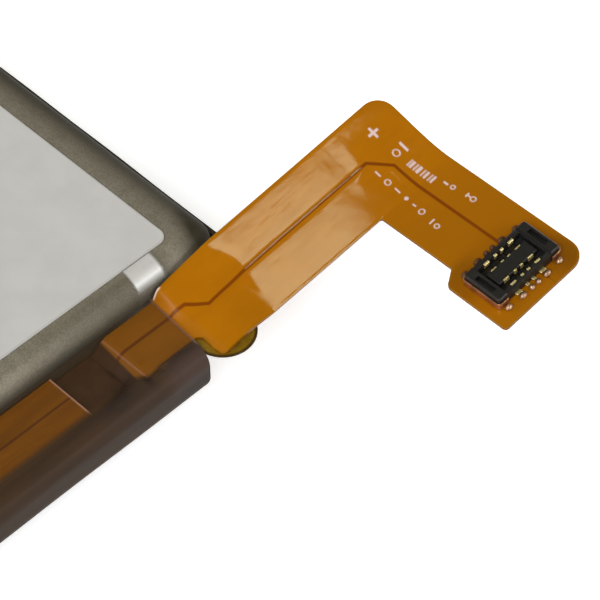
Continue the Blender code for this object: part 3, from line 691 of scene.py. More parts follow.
@dataclass(frozen=True)
class SunkGrain(Grain):
    """A finish for the socket's parts, with painted shade towards the socket's floor or on its inner side."""

    # the painted shade's colour, as a picture shows it
    painted_shade: Triple = (0.0, 0.0, 0.0)
    seat: float = 4.77
    slope: float = 0.137
    middle_y: float = 37.8
    floor_levels: Range = (0.34, 0.20)
    near_wall: Range = (53.26, 53.18)
    inner_side: Range | None = None

    def tone(self, book: MaterialBook, plain: bpy.types.NodeSocket, gloss: Reading, fine: Reading) -> None:
        """Sets the colour, the roughness and the metal.

        Formula: the level is the height over the flex's sloping face under the socket. Below the floor
        levels the colour turns to the painted shade, or, where an inner side is given, on that side alone.

        Args:
            book: the material.
            plain: the clouded colour.
            gloss: the roughness with its slow swing.
            fine: the finer clouds, which this kind leaves out of its gloss.
        """
        if self.inner_side:
            painted_shade = book.axis(0).between(*self.inner_side)
        else:
            level = book.axis(2) - self.slope * (book.axis(1) - self.middle_y) - self.seat
            painted_shade = level.between(*self.floor_levels) * book.axis(0).between(*self.near_wall)
        # painted shade: darker, rougher and less metallic low in the socket or on the inner side
        book.surface(
            base_color=book.mix(plain, (painted_shade, paint(*self.painted_shade))),
            roughness=gloss + painted_shade * 0.3,
            metallic=self.metallic - painted_shade * self.metallic * 0.6,
        )


@dataclass(frozen=True)
class TongueFilm(Finish):
    """The retaining film's olive tongue: clear olive inside, with a dark rim."""

    name: str = "olive_film"
    inside: Triple = paint(152, 117, 28)
    shade: Triple = paint(124, 93, 22)
    rim: Triple = paint(38, 31, 12)
    rim_width: Range = (0.17, 0.07)

    def lay(self, book: MaterialBook) -> None:
        """Sets the shader: clouds of olive and the rim.

        Args:
            book: the material.
        """
        cloud = book.noise(0.7, 3.0, 0.55)
        rim = book.stored("rim_distance").between(*self.rim_width)
        book.surface(
            base_color=book.mix(self.inside, (cloud.between(0.35, 0.65), self.shade), (rim * 0.85, self.rim)),
            roughness=0.16 + cloud * 0.1,
            specular_ior_level=0.3,
        )
        book.relief(cloud, 0.004)


@dataclass(frozen=True)
class LabelPaper(Finish):
    """The pale grey label: matt printed film with faint mottling and a slightly darker cut edge."""

    name: str = "pale_label_paper"
    colour: Triple = paint(194, 191, 187)
    shade: Triple = paint(187, 184, 180)
    cut: Triple = paint(150, 148, 142)
    cut_width: float = 0.12

    def lay(self, book: MaterialBook) -> None:
        """Sets the shader: the mottling, the paper's tooth and the cut edge.

        Args:
            book: the material.
        """
        mottle = book.noise(1.6, 4.0, 0.55)
        tooth = book.noise(0.05, 2.0, 0.6)
        edge = book.stored("edge_distance").between(self.cut_width, 0.0)
        mottled = mottle.between(0.3, 0.7) * 0.8
        book.surface(
            base_color=book.mix(self.colour, (mottled, self.shade), (edge * 0.45, self.cut)),
            roughness=0.5 + (tooth - 0.5) * 0.2,
            specular_ior_level=0.35,
        )
        book.relief(tooth * 0.6 + mottle * 0.4, 0.004)


@dataclass(frozen=True)
class PouchFoil(Finish):
    """The pouch's warm grey laminate: a fine pressed grain, streaks along the folds, painted shade down its
    wall and at its edges.
    """

    name: str = "warm_pouch_foil"
    bright: Triple = paint(165, 157, 141)
    dark: Triple = paint(103, 95, 77)
    # painted shade colour for the lower wall
    painted_wall_shade: Triple = paint(53, 56, 51)
    # painted shade colour for the rim, the corner and beside the flex
    edge: Triple = paint(43, 37, 18)
    wall_shade_fall: Range = (4.2, 3.3)

    def lay(self, book: MaterialBook) -> None:
        """Sets the shader: the grain, the streaks, and the painted shade on the lower wall and on the rim.

        Args:
            book: the material.
        """
        speckle = book.noise(0.075, 3.0, 0.7)
        patch = book.noise(0.5, 3.0, 0.6)
        along_x = book.noise(0.5, 3.0, 0.6, (0.06, 1.0, 1.0))
        along_y = book.noise(0.4, 3.0, 0.6, (1.0, 0.06, 1.0))
        streak = along_x * 0.5 + along_y * 0.5
        share = (speckle * 0.6 + patch * 0.15 + streak * 0.25).between(0.2, 0.8)
        # painted shade: darker down the wall, and by the stored rim shade
        low = book.axis(2).between(*self.wall_shade_fall)
        rim = book.stored("rim_shade")
        book.surface(
            base_color=book.mix(self.dark, (share, self.bright), (low * 0.75, self.painted_wall_shade), (rim, self.edge)),
            roughness=0.4 + (speckle - 0.5) * 0.25 + (streak - 0.5) * 0.2 + rim * 0.3,
            metallic=0.25 - rim * 0.25,
            specular_ior_level=0.3,
        )
        book.relief(speckle * 0.6 + streak * 0.4, 0.012)


@dataclass(frozen=True)
class SmokyFilm(Finish):
    """The thin smoky film round the board: half clear and brown, hazier in bands, with fine drawn lines,
    painted shade in its creases and a painted highlight along its cut.
    """

    name: str = "smoky_brown_film"
    body: Triple = paint(81, 57, 34)
    haze: Triple = paint(53, 41, 33)
    # painted shade colour for the crease, the lower face and two spots
    crease: Triple = paint(26, 19, 14)
    # painted highlight colour along the cut edge
    cut: Triple = paint(150, 118, 108)

    def lay(self, book: MaterialBook) -> None:
        """Sets the shader: the haze, the painted shade in the creases, the painted highlight along the cut
        edge and how much shows through.

        Args:
            book: the material.
        """
        cloud = book.noise(1.4, 4.0, 0.55, (1.0, 0.25, 1.0))
        lines = book.noise(0.12, 2.0, 0.6, (1.0, 0.05, 1.0), 62.0)
        haze = book.stored("haze")
        share = haze * (0.3 + cloud) + (lines - 0.5) * haze * 0.4
        # painted shade from the stored crease field
        crease_shade = (book.stored("crease") * 0.7, self.crease)
        # painted highlight along the cut, from the stored field
        cut = (book.stored("cut_edge") * 0.7, self.cut)
        book.surface(
            base_color=book.mix(self.body, (share, self.haze), crease_shade, cut),
            roughness=0.38 + lines * 0.16,
            alpha=book.stored("cover") + (cloud - 0.5) * 0.12,
            specular_ior_level=0.12,
        )
        book.relief(lines * 0.5 + cloud * 0.5, 0.004)


@dataclass(frozen=True)
class ClearTape(Finish):
    """The clear gloss tape on the shoulder: milky where it starts on the flat, partly its own white and
    partly painted highlight, with a brighter painted highlight on the bend.
    """

    name: str = "clear_gloss_tape"
    milk: Triple = paint(194, 190, 186)
    # painted highlight colour, lower on the bend
    bright: Triple = paint(236, 235, 232)
    body: Triple = paint(150, 147, 138)
    bend: Range = (4.58, 4.25)

    def lay(self, book: MaterialBook) -> None:
        """Sets the shader: the milky start, partly painted highlight, the brighter painted highlight over the
        bend, and the clear end.

        Args:
            book: the material.
        """
        cloud = book.noise(0.5, 3.0, 0.6)
        milk = book.stored("milk")
        # painted highlight: brighter down the bend
        lit = book.mix(self.milk, (book.axis(2).between(*self.bend), self.bright))
        book.surface(
            base_color=book.mix(self.body, (milk, lit)),
            roughness=0.16 + cloud * 0.12,
            alpha=0.06 + milk * (0.76 + cloud * 0.2),
            coat_weight=0.15,
        )
        book.relief(cloud, 0.003)


@dataclass(frozen=True)
class AmberLaminate(Finish):
    """The flex's face: amber film over copper, with the etched gap, the bare border, printed marks, painted
    shade at two corners and painted highlights on its edge and its fold.
    """

    name: str = "amber_cover_film"
    over_copper: Triple = paint(170, 103, 0)
    over_copper_shade: Triple = paint(161, 96, 0)
    free_end: Triple = paint(152, 92, 0)
    # painted shade colour for the far and the near corner
    corner_shade: Triple = paint(122, 73, 0)
    bare: Triple = paint(146, 96, 0)
    etched: Triple = paint(116, 54, 0)
    ink: Triple = paint(214, 192, 190)
    lit_edge: Triple = paint(238, 204, 180)
    # darker brown laid past the fold, where the flex lies lower under the film
    dark_past_fold: Triple = paint(66, 44, 30)
    # painted highlight colour along the fold
    fold_highlight: Triple = paint(214, 150, 116)
    gap_half: float = 0.075
    border: float = 0.08
    toward_end: Range = (44.5, 49.0)
    far_corner_x: Range = (51.6, 53.6)
    far_corner_y: Range = (38.0, 39.8)
    near_corner_x: tuple[Range, Range] = ((50.1, 50.6), (52.6, 51.6))
    near_corner_y: Range = (37.6, 36.4)
    root_edge_x: Range = (42.4, 42.3)
    root_edge_y: tuple[Range, Range] = ((26.86, 26.94), (27.34, 27.22))
    film_edge: Range = (27.7, 26.9)
    fold_x: float = 42.335
    fold_y: float = 24.02
    dark_slant: float = 0.07

    def lay(self, book: MaterialBook) -> None:
        """Sets the shader: the film's tints from the copper up, with painted shade at the corners, then what
        is printed, the painted highlights on the lit edge and on the fold, and the darker brown past the
        fold.

        Args:
            book: the material.
        """
        x, y = book.axis(0), book.axis(1)
        from_edge = book.stored("edge_distance")
        drawn = book.noise(0.5, 4.0, 0.6, (1.0, 0.12, 1.0))
        mottle = book.noise(0.07, 3.0, 0.65)
        broad = book.noise(3.0, 2.0, 0.5)
        gap = abs(book.stored("gap_distance")).between(self.gap_half + 0.035, self.gap_half - 0.03)
        border = from_edge.between(self.border + 0.05, self.border - 0.05)
        # painted shade at the two corners round the socket
        far_corner = x.between(*self.far_corner_x) * y.between(*self.far_corner_y)
        near_corner = y.between(*self.near_corner_y)
        root_edge = from_edge.between(0.11, 0.06) * x.between(*self.root_edge_x)
        for corner_range, root_range in zip(self.near_corner_x, self.root_edge_y):
            near_corner = near_corner * x.between(*corner_range)
            root_edge = root_edge * y.between(*root_range)
        mark = book.stored("mark_distance").between(0.03, -0.025) * (0.75 + mottle * 0.3)
        past_fold = y - self.fold_y
        # darker brown past the fold
        dark_share = (past_fold + self.dark_slant * (x - self.fold_x)).between(-0.06, -0.15)
        # painted highlight along the fold of the root's step
        fold = past_fold.between(-0.06, -0.02) * past_fold.between(0.06, 0.02)
        book.surface(
            base_color=book.mix(
                self.over_copper,
                ((drawn * 0.4 + broad * 0.6).between(0.35, 0.65), self.over_copper_shade),
                (x.between(*self.toward_end) * 0.85, self.free_end),
                (far_corner * 0.9, self.corner_shade),
                (near_corner * 0.5, self.corner_shade),
                (border * 0.5, self.bare),
                (gap * 0.92, self.etched),
                (mark, self.ink),
                (root_edge * 0.85, self.lit_edge),
                (dark_share, self.dark_past_fold),
                (fold * 0.4, self.fold_highlight),
            ),
            roughness=0.045 + mottle * 0.03 + mark * 0.35 + y.between(*self.film_edge) * 0.4,
            specular_ior_level=0.2,
        )
        wavy = book.noise(0.9, 2.0, 0.5)
        streaks = book.noise(0.22, 2.0, 0.5, (1.0, 0.1, 1.0), 52.0)
        book.relief(wavy * 0.7 + streaks * 0.18 + mottle * 0.12, 0.0065)


@dataclass(frozen=True)
class BoardCoverlay(Finish):
    """The board's amber coverlay, with the etched gap between its two tracks and a pale cut end."""

    name: str = "amber_coverlay"
    track: Triple = paint(156, 91, 0)
    track_shade: Triple = paint(137, 79, 0)
    etched: Triple = paint(96, 44, 14)
    cut: Triple = paint(226, 168, 140)
    bare: Triple = paint(128, 98, 66)
    gap_middle: float = 43.40
    gap_half: float = 0.06
    end: float = 21.2
    side: float = 44.58

    def lay(self, book: MaterialBook) -> None:
        """Sets the shader: the two tracks, the gap, the bare side and the cut end.

        Args:
            book: the material.
        """
        drawn = book.noise(0.5, 4.0, 0.6, (1.0, 0.12, 1.0))
        fine = book.noise(0.06, 2.0, 0.6)
        gap = abs(book.axis(0) - self.gap_middle).between(self.gap_half + 0.03, self.gap_half - 0.03)
        side = book.axis(0).between(self.side - 0.03, self.side + 0.05)
        end = book.axis(1).between(self.end - 0.11, self.end - 0.05)
        tracks = book.mix(self.track, (drawn.between(0.3, 0.7), self.track_shade))
        book.surface(
            base_color=book.mix(tracks, (gap * 0.85, self.etched), (side, self.bare), (end * 0.8, self.cut)),
            roughness=0.3 + fine * 0.1,
            specular_ior_level=0.25,
        )
        book.relief(fine * 0.5 + drawn * 0.5, 0.003)


class Wares(Enum):
    """The finishes of the small parts and of the hidden pieces."""

    # The seal and terrace foils are darker copies of the pouch's foil: painted shade.
    SEAL_FOIL = Grain("dark_seal_foil", (62, 53, 38), (48, 40, 28), 0.8, 0.55, 0.2, 0.0, 0.01, level=0.25)
    TERRACE_FOIL = Grain("terrace_foil", (66, 59, 47), (50, 44, 34), 0.6, 0.5, 0.2, 0.1, 0.01, level=0.25)
    BASE_FILM = Grain("amber_base_film", (150, 92, 8), (128, 76, 8), 0.9, 0.2, 0.08, 0.0, 0.002)
    COPPER = Grain("rolled_copper", (196, 122, 72), (168, 98, 56), 0.5, 0.34, 0.15, 0.9, 0.003)
    COVERLAY = BoardCoverlay()
    RESIN_BOARD = Grain("green_resin_board", (52, 66, 48), (38, 50, 38), 0.35, 0.42, 0.1, 0.0, 0.004)
    BROWN_TAPE = Grain("brown_tape", (70, 46, 30), (52, 34, 24), 0.9, 0.36, 0.12, 0.0, 0.006)
    CHIP_EPOXY = Grain("chip_epoxy", (34, 33, 34), (26, 25, 27), 0.12, 0.55, 0.1, 0.0, 0.006, 0.04)
    CERAMIC = Grain("tan_ceramic", (150, 122, 90), (128, 102, 74), 0.15, 0.38, 0.1, 0.0, 0.003, 0.05)
    NICKEL = Grain("nickel_strip", (176, 172, 162), (150, 146, 138), 0.6, 0.3, 0.16, 1.0, 0.003)
    ALUMINIUM = Grain("aluminium_tab", (196, 197, 198), (172, 173, 175), 0.6, 0.36, 0.16, 1.0, 0.003)
    SEALANT = Grain("white_tab_sealant", (214, 212, 204), (196, 193, 184), 0.5, 0.42, 0.1, 0.0, 0.006)
    STIFFENER = Grain("olive_resin_sheet", (150, 112, 18), (128, 98, 22), 0.7, 0.3, 0.1, 0.0, 0.004)
    # Painted shade in these three: the moulding's recesses, the contacts' low parts and the solder's inner
    # side.
    MOULDING = SunkGrain("black_moulding", (29, 26, 23), (21, 19, 18), 0.25, 0.4, 0.14, 0.0, 0.004, 0.04,
                         level=0.35, painted_shade=(11, 10, 9))
    GOLD = SunkGrain("gold_plate", (255, 240, 178), (240, 208, 128), 0.15, 0.36, 0.12, 0.9, 0.001, 0.03,
                     painted_shade=(40, 28, 14))
    TIN = SunkGrain("tin_solder", (206, 172, 142), (132, 92, 66), 0.12, 0.36, 0.2, 0.8, 0.006, 0.05,
                    painted_shade=(92, 56, 20), inner_side=(51.4, 51.2))
    BRONZE = Grain("tinned_bronze", (216, 164, 124), (158, 110, 76), 0.25, 0.3, 0.16, 0.9, 0.003, 0.05)


@dataclass
class CellPouch:
    """The soft pouch of the cell: its body, the terrace flange, the two folded seals and the label."""

    half_length: float = 42.0
    half_width: float = 31.0
    thickness: float = 4.6
    corner: float = 1.1
    top_edge: float = 1.0
    bottom_edge: float = 0.7
    flat_steps: tuple[float, ...] = (0.2, 0.45, 0.8, 1.2)
    crease_depth: float = 0.012
    crease_under: float = 0.35
    crease_reach: float = 0.45
    # Where the rim's painted shade falls: past the label, towards the rear, at the corner, on the end
    # shoulder and beside the flex.
    bare_band: Range = (28.6, 29.4)
    toward_rear: Range = (40.5, 28.0)
    toward_corner: Range = (69.9, 72.0)
    end_shoulder: Range = (40.7, 41.3)
    toward_flex: Range = (14.0, 26.0)
    under_flex: Range = (29.3, 27.6)
    flange_low: float = 1.4
    flange_high: float = 1.68
    flange_reach: float = 3.1
    flange_buried: float = 1.0
    flange_half_width: float = 26.4
    flange_corner: float = 0.3
    flange_edge: float = 0.06
    bar_pitch: float = 0.8
    bar_depth: float = 0.02
    seal_gap: float = 0.02
    seal_thickness: float = 0.25
    seal_low: float = 0.8
    seal_high: float = 3.6
    seal_half_length: float = 41.9
    seal_wave: float = 0.03
    label_rear: float = -40.4
    label_front: float = 40.92
    label_side: float = 29.03
    label_corner: float = 0.5
    label_edge: float = 0.03
    label_under_edge: float = 0.01
    label_steps: tuple[float, ...] = (0.02, 0.06, 0.11, 0.27)
    label_thickness: float = 0.08

    def body(self) -> None:
        """The pouch's body, with soft creases pressed a little inwards along its rounded upper edge.

        Formula: the rounded slab's rings, each point moved in and down by a sum of slow waves round the
        outline, strongest half-way up the shoulder.
        """
        insets, heights = edge_profile(self.thickness, self.top_edge, self.bottom_edge, 14, self.flat_steps)
        rings = slab_rings(self.half_length, self.half_width, self.corner, insets, heights, 13, 150)
        along = rings[..., 0] * 0.9 + rings[..., 1]
        wave = np.sin(along * 0.9) + 0.6 * np.sin(along * 2.3 + 1.1) + 0.35 * np.sin(along * 5.1 + 0.4)
        highest = 1 + 0.6 + 0.35
        shoulder = bell(heights - self.thickness + self.crease_under, self.crease_reach)
        shoulder = shoulder * ease(insets, self.top_edge + 0.3, self.top_edge)
        inwards = self.crease_depth * (highest + wave) / highest * shoulder[:, None]
        rings[..., :2] -= inwards[..., None] * unit(rings[..., :2])
        rings[..., 2] -= inwards
        surface = closed_rings(rings)
        fields = {"rim_shade": self.rim_shade(*surface[0][:, :2].T)}
        make_piece("cell_pouch_skin", surface, PouchFoil().dress(), "warm_grey_foil", "pouch_cell", fields)

    def rim_shade(self, x: np.ndarray, y: np.ndarray) -> np.ndarray:
        """How much painted shade the pouch's edges get: beyond the label, round the rim, at the corner and
        beside the flex.

        Args:
            x: the places along the pack.
            y: the places across it.

        Returns:
            The shade, 0 to 1.
        """
        rim = ease(y, *self.bare_band) * (0.31 + 0.08 * ease(x, *self.toward_rear))
        rim = rim + 0.65 * ease(y, self.half_width - 1.75, self.half_width - 0.25)
        for from_middle, half in ((-x, self.half_length), (-y, self.half_width)):
            rim = rim + 0.7 * ease(from_middle, half - 1.0, half - 0.1)
        beside_flex = (0.01 + 0.54 * ease(y, *self.toward_flex)) * ease(y, *self.under_flex)
        rim = rim + 0.6 * ease(x + y, *self.toward_corner) + ease(x, *self.end_shoulder) * beside_flex
        return np.clip(rim, 0, 1)

    def flange(self) -> None:
        """The terrace flange: a thin welded edge with bars pressed across its upper side.

        Formula: the upper side sinks by the depth times the half of (1 plus the cosine along x).
        """
        thickness = self.flange_high - self.flange_low
        insets, heights = edge_profile(thickness, self.flange_edge, self.flange_edge, 4)
        half_length = (self.flange_reach + self.flange_buried) / 2
        rings = slab_rings(half_length, self.flange_half_width, self.flange_corner, insets, heights, 5, 90)
        rings += (self.half_length - self.flange_buried + half_length, 0, self.flange_low)
        pressed = 0.5 + 0.5 * np.cos(rings[..., 0] * 2 * math.pi / self.bar_pitch)
        rings[..., 2] -= self.bar_depth * pressed * (heights[:, None] > thickness / 2)
        foil = Wares.TERRACE_FOIL.value.dress()
        make_piece("terrace_flange_skin", closed_rings(rings), foil, "warm_grey_foil", "pouch_cell")

    def seals(self) -> None:
        """The two folded side seals: thin strips with a wavy upper edge.

        Formula: a rounded upright strip's outline in (y, z), carried along x in even steps; its upper
        half sinks by a slow wave of x.
        """
        corners = ((0, 1, 0), (0, 0, 0.08), (1, 0, 0.08), (1, 2, 0.1), (0, 2, 0.1), (0, 1, 0))
        across, up = rounded_line(corners, 5)[:-1].T
        steps = np.linspace(-1, 1, 240)[:, None]
        height = self.seal_low + up / 2 * (self.seal_high - self.seal_low)
        foil = Wares.SEAL_FOIL.value.dress()
        for side, name, node in ((1, "far", "folded_seal_flex_side"), (-1, "near", "folded_seal_plain_side")):
            y = side * (self.half_width + self.seal_gap + across * self.seal_thickness)
            wave = self.seal_wave * (1 + np.sin(steps * 31 + side) * np.sin(steps * 12.7))
            rings = points_at(steps * self.seal_half_length, y, height - wave * (up > 1))
            make_piece(f"folded_seal_{name}", closed_rings(rings), foil, "dark_grey_foil", node)

    def label(self) -> None:
        """The pale label, a thin sheet with a soft cut edge."""
        edges = (self.label_edge, self.label_under_edge)
        insets, heights = edge_profile(self.label_thickness, *edges, 4, self.label_steps)
        half_length = (self.label_front - self.label_rear) / 2
        rings = slab_rings(half_length, self.label_side, self.label_corner, insets, heights, 11, 40)
        rings += ((self.label_front + self.label_rear) / 2, 0, self.thickness + FILM_GAP)
        edge = {"edge_distance": np.repeat(insets, rings.shape[1])}
        make_piece("label_sheet", closed_rings(rings), LabelPaper().dress(), "pale_grey_label", "label", edge)

    def build(self) -> None:
        """Builds every piece of the cell."""
        self.body()
        self.flange()
        self.seals()
        self.label()


@dataclass(frozen=True)
class Spot:
    """A soft round patch: its middle, how far it reaches along x and y, and its strength."""

    x: float
    y: float
    reach_x: float
    reach_y: float
    strength: float

    def at(self, x: np.ndarray, y: np.ndarray) -> np.ndarray:
        """The patch at given places: its strength times a bell in x and a bell in y."""
        return self.strength * bell(x - self.x, self.reach_x) * bell(y - self.y, self.reach_y)


@dataclass(frozen=True)
class Patch:
    """A stretch that climbs in along each axis that it names, from the first place to the second."""

    strength: float
    x: Range
    y: Range | None = None
    z: Range | None = None

    def at(self, *places: np.ndarray) -> np.ndarray:
        """The patch at given x, y and z: its strength times a climb along each axis that it names."""
        climbs = [ease(place, *ends) for place, ends in zip(places, (self.x, self.y, self.z)) if ends]
        return self.strength * math.prod(climbs)


@dataclass
class EndWrap:
    """The smoky film folded round the protection board, open towards the cell."""

    start: float = 42.03
    face: float = 45.92
    top: float = 3.41
    bottom: float = 1.24
    thickness: float = 0.08
    top_radius: float = 0.85
    bottom_radius: float = 0.5
    cut_end: float = 26.86
    plain_end: float = -26.86
    slant: float = 0.3 / 3.92
    slant_from: float = 42.0
    cut_round: float = 0.7
    crease_line: tuple[Range, ...] = ((45.42, -26.0), (45.3, 8.0), (45.12, 17.5), (44.76, 22.6), (44.3, 24.2))
    ripple: float = 0.035
    face_ripple: float = 0.03
    crease_depth: float = 0.05
    crease_half: float = 0.3
    crease_fades: Range = (24.2, 22.6)
    crease_deepens: Range = (21.4, 23.2)
    # two spots of painted shadow
    shadow_spots: tuple[Spot, ...] = (Spot(43.9, 23.02, 0.4, 0.13, 1.1), Spot(45.0, 23.85, 0.4, 0.16, 1.1))
    mists: tuple[Spot, ...] = (Spot(45.1, 25.7, 0.5, 0.7, 0.55), Spot(45.35, 22.2, 0.3, 1.1, 0.35))
    neck: Range = (23.5, 24.1)
    neck_shift: float = 0.37
    past_board: Range = (44.48, 45.0)
    top_from: Range = (2.6, 3.1)
    board_mist_x: float = 44.95
    board_mist_y: Range = (24.0, 22.0)
    corner_mist: Patch = Patch(0.5, (44.5, 45.2), (24.4, 25.6))
    board_clear: Patch = Patch(0.5, (45.5, 44.9), (23.6, 21.0), (2.9, 3.2))
    face_shade: Patch = Patch(0.5, (45.45, 45.85), z=(3.3, 2.7))
    dense: Patch = Patch(1.1, (44.84, 45.02), (24.2, 24.9))
    # a faint painted highlight on the outer part near the cut end
    lit_cut_end: Patch = Patch(0.13, (45.0, 45.5), (24.0, 25.4), (2.2, 2.8))
    cut_seen_x: Range = (45.4, 44.8)

    def section(self, offset: float) -> np.ndarray:
        """The film's folded line in (x, z), moved out from its middle by an offset.

        Args:
            offset: how far outwards, in millimetres.

        Returns:
            The points, evenly spaced along the line.
        """
        grown = offset - self.thickness / 2
        corners = (
            (self.start, self.top + grown, 0),
            (self.face + grown, self.top + grown, self.top_radius + grown),
            (self.face + grown, self.bottom - grown, self.bottom_radius + grown),
            (self.start, self.bottom - grown, 0),
        )
        return evenly(rounded_line(corners, 13), 150)

    def slanted_cut(self, x: np.ndarray) -> np.ndarray:
        """Where along y the film is cut at its flex end, which comes in evenly with x."""
        return self.cut_end - self.slant * (x - self.slant_from)

    def crease_distance(self, x: np.ndarray, y: np.ndarray) -> np.ndarray:
        """How far a point of the top panel lies from the long shallow crease near the film's outer edge.

        Args:
            x: the points' places along x, in millimetres.
            y: their places along y, as a grid.

        Returns:
            The distances, as a grid of the same shape.
        """
        points = np.stack(np.broadcast_arrays(x, y), axis=-1)
        distance, _ = from_line(points.reshape(-1, 2), np.array(self.crease_line))
        return np.abs(distance).reshape(y.shape)

    def skin(self, offset: float) -> np.ndarray:
        """One side of the film as a grid: the folded line carried along y up to the slanted cut.

        Formula: y runs evenly from the plain end to the cut, which ends in a quarter round near the
        underside. Slow ripples and the crease lower the top panel, and ripples draw in the face.

        Args:
            offset: how far outwards from the film's middle.

        Returns:
            The grid of points.
        """
        x, z = self.section(offset).T
        depth = np.clip(1 - (z - self.bottom) / self.cut_round, 0, 1)
        cut = self.slanted_cut(x) - self.cut_round * (1 - np.sqrt(1 - depth**2))
        y = self.plain_end + np.linspace(0, 1, 420)[:, None] * (cut - self.plain_end)
        flat = ease(z, self.top - 0.3, self.top - 0.06) * ease(x, self.start + 0.1, self.start + 0.9)
        upright = ease(x, self.face - 0.35, self.face - 0.05)
        slow = 0.5 + 0.25 * np.sin(y * 0.83 + x * 1.2) + 0.25 * np.sin(y * 0.37 - x * 0.7 + 1.4)
        crease = bell(self.crease_distance(x, y), self.crease_half) * ease(y, *self.crease_fades)
        dip = self.ripple * slow + self.crease_depth * crease
        return points_at(x - self.face_ripple * upright * slow, y, z - flat * dip)

    def looks(self, x: np.ndarray, y: np.ndarray, z: np.ndarray) -> Fields:
        """Where the film is hazy, where it gets painted shade (along its crease, low on its face, at two
        spots), how opaque it is, and where it gets a painted highlight along its cut.

        Formula: each is a sum or the greatest of climbs and bells along the three axes.

        Args:
            x: the places along the pack.
            y: the places across it.
            z: the heights.

        Returns:
            The four numbers for each point, by name.
        """
        outside = ease(x - self.neck_shift * ease(y, *self.neck), *self.past_board)
        # painted shade: along the crease, low on the upright face and at two spots
        crease = bell(self.crease_distance(x, y), 0.26) * (0.3 + 0.7 * ease(y, *self.crease_deepens))
        crease = crease * ease(z, *self.top_from) + self.face_shade.at(x, y, z)
        crease = crease + sum(shadow_spot.at(x, y) for shadow_spot in self.shadow_spots)
        haze = 0.08 + 0.75 * outside + sum(mist.at(x, y) for mist in self.mists)
        haze = haze + 0.5 * bell(x - self.board_mist_x, 0.3) * ease(y, *self.board_mist_y)
        haze = haze + self.corner_mist.at(x, y, z) - self.board_clear.at(x, y, z)
        # painted highlight along the slanted cut, and faintly on the outer part near the cut end
        edge = ease(y - self.slanted_cut(x), -0.10, -0.02) * ease(x, *self.cut_seen_x)
        cover = np.maximum(0.2 + 0.76 * outside + 0.2 * edge, self.dense.at(x, y, z))
        edge = np.maximum(edge, self.lit_cut_end.at(x, y, z))
        return on_both_sides(haze=haze, crease=crease, cover=cover, cut_edge=edge)

    def build(self) -> None:
        """Builds the film with what its material reads."""
        outer, inner = self.skin(self.thickness / 2), self.skin(-self.thickness / 2)
        fields = self.looks(*np.moveaxis(outer, -1, 0))
        surface = closed_sheet(outer, inner)
        make_piece("end_wrap_skin", surface, SmokyFilm().dress(), "smoky_film", "end_wrap_film", fields)


@dataclass
class ShoulderTape:
    """The clear tape from the label's edge over the pouch's shoulder."""

    near: float = 26.28
    far: float = 27.93
    from_x: float = 40.97
    wall: float = 42.0
    crown: float = 4.6
    shoulder: float = 1.05
    lowest: float = 3.47
    thickness: float = 0.04
    milk_and_highlight_fade: Range = (3.85, 4.45)

    def side(self, offset: float) -> np.ndarray:
        """One side of the tape as a grid: a line over the shoulder in (x, z), carried along y.

        Args:
            offset: how far it lies off the pouch.

        Returns:
            The grid of points.
        """
        corners = (
            (self.from_x, self.crown + offset, 0),
            (self.wall + offset, self.crown + offset, self.shoulder + offset),
            (self.wall + offset, self.lowest, 0),
        )
        line = evenly(rounded_line(corners, 33), 60)
        return points_at(line[:, :1], np.linspace(self.near, self.far, 70), line[:, 1:])

    def build(self) -> None:
        """Builds the tape and stores where it is milky and carries its painted highlight."""
        outer, inner = self.side(FILM_GAP + self.thickness), self.side(FILM_GAP)
        y, z = outer[..., 1], outer[..., 2]
        inside = ease(y, self.near, self.near + 0.14) * ease(y, self.far, self.far - 0.2)
        fields = on_both_sides(milk=inside * ease(z, *self.milk_and_highlight_fade))
        surface = closed_sheet(outer, inner)
        tape = ClearTape().dress()
        make_piece("shoulder_tape_skin", surface, tape, "clear_tape", "clear_tape_strip", fields)


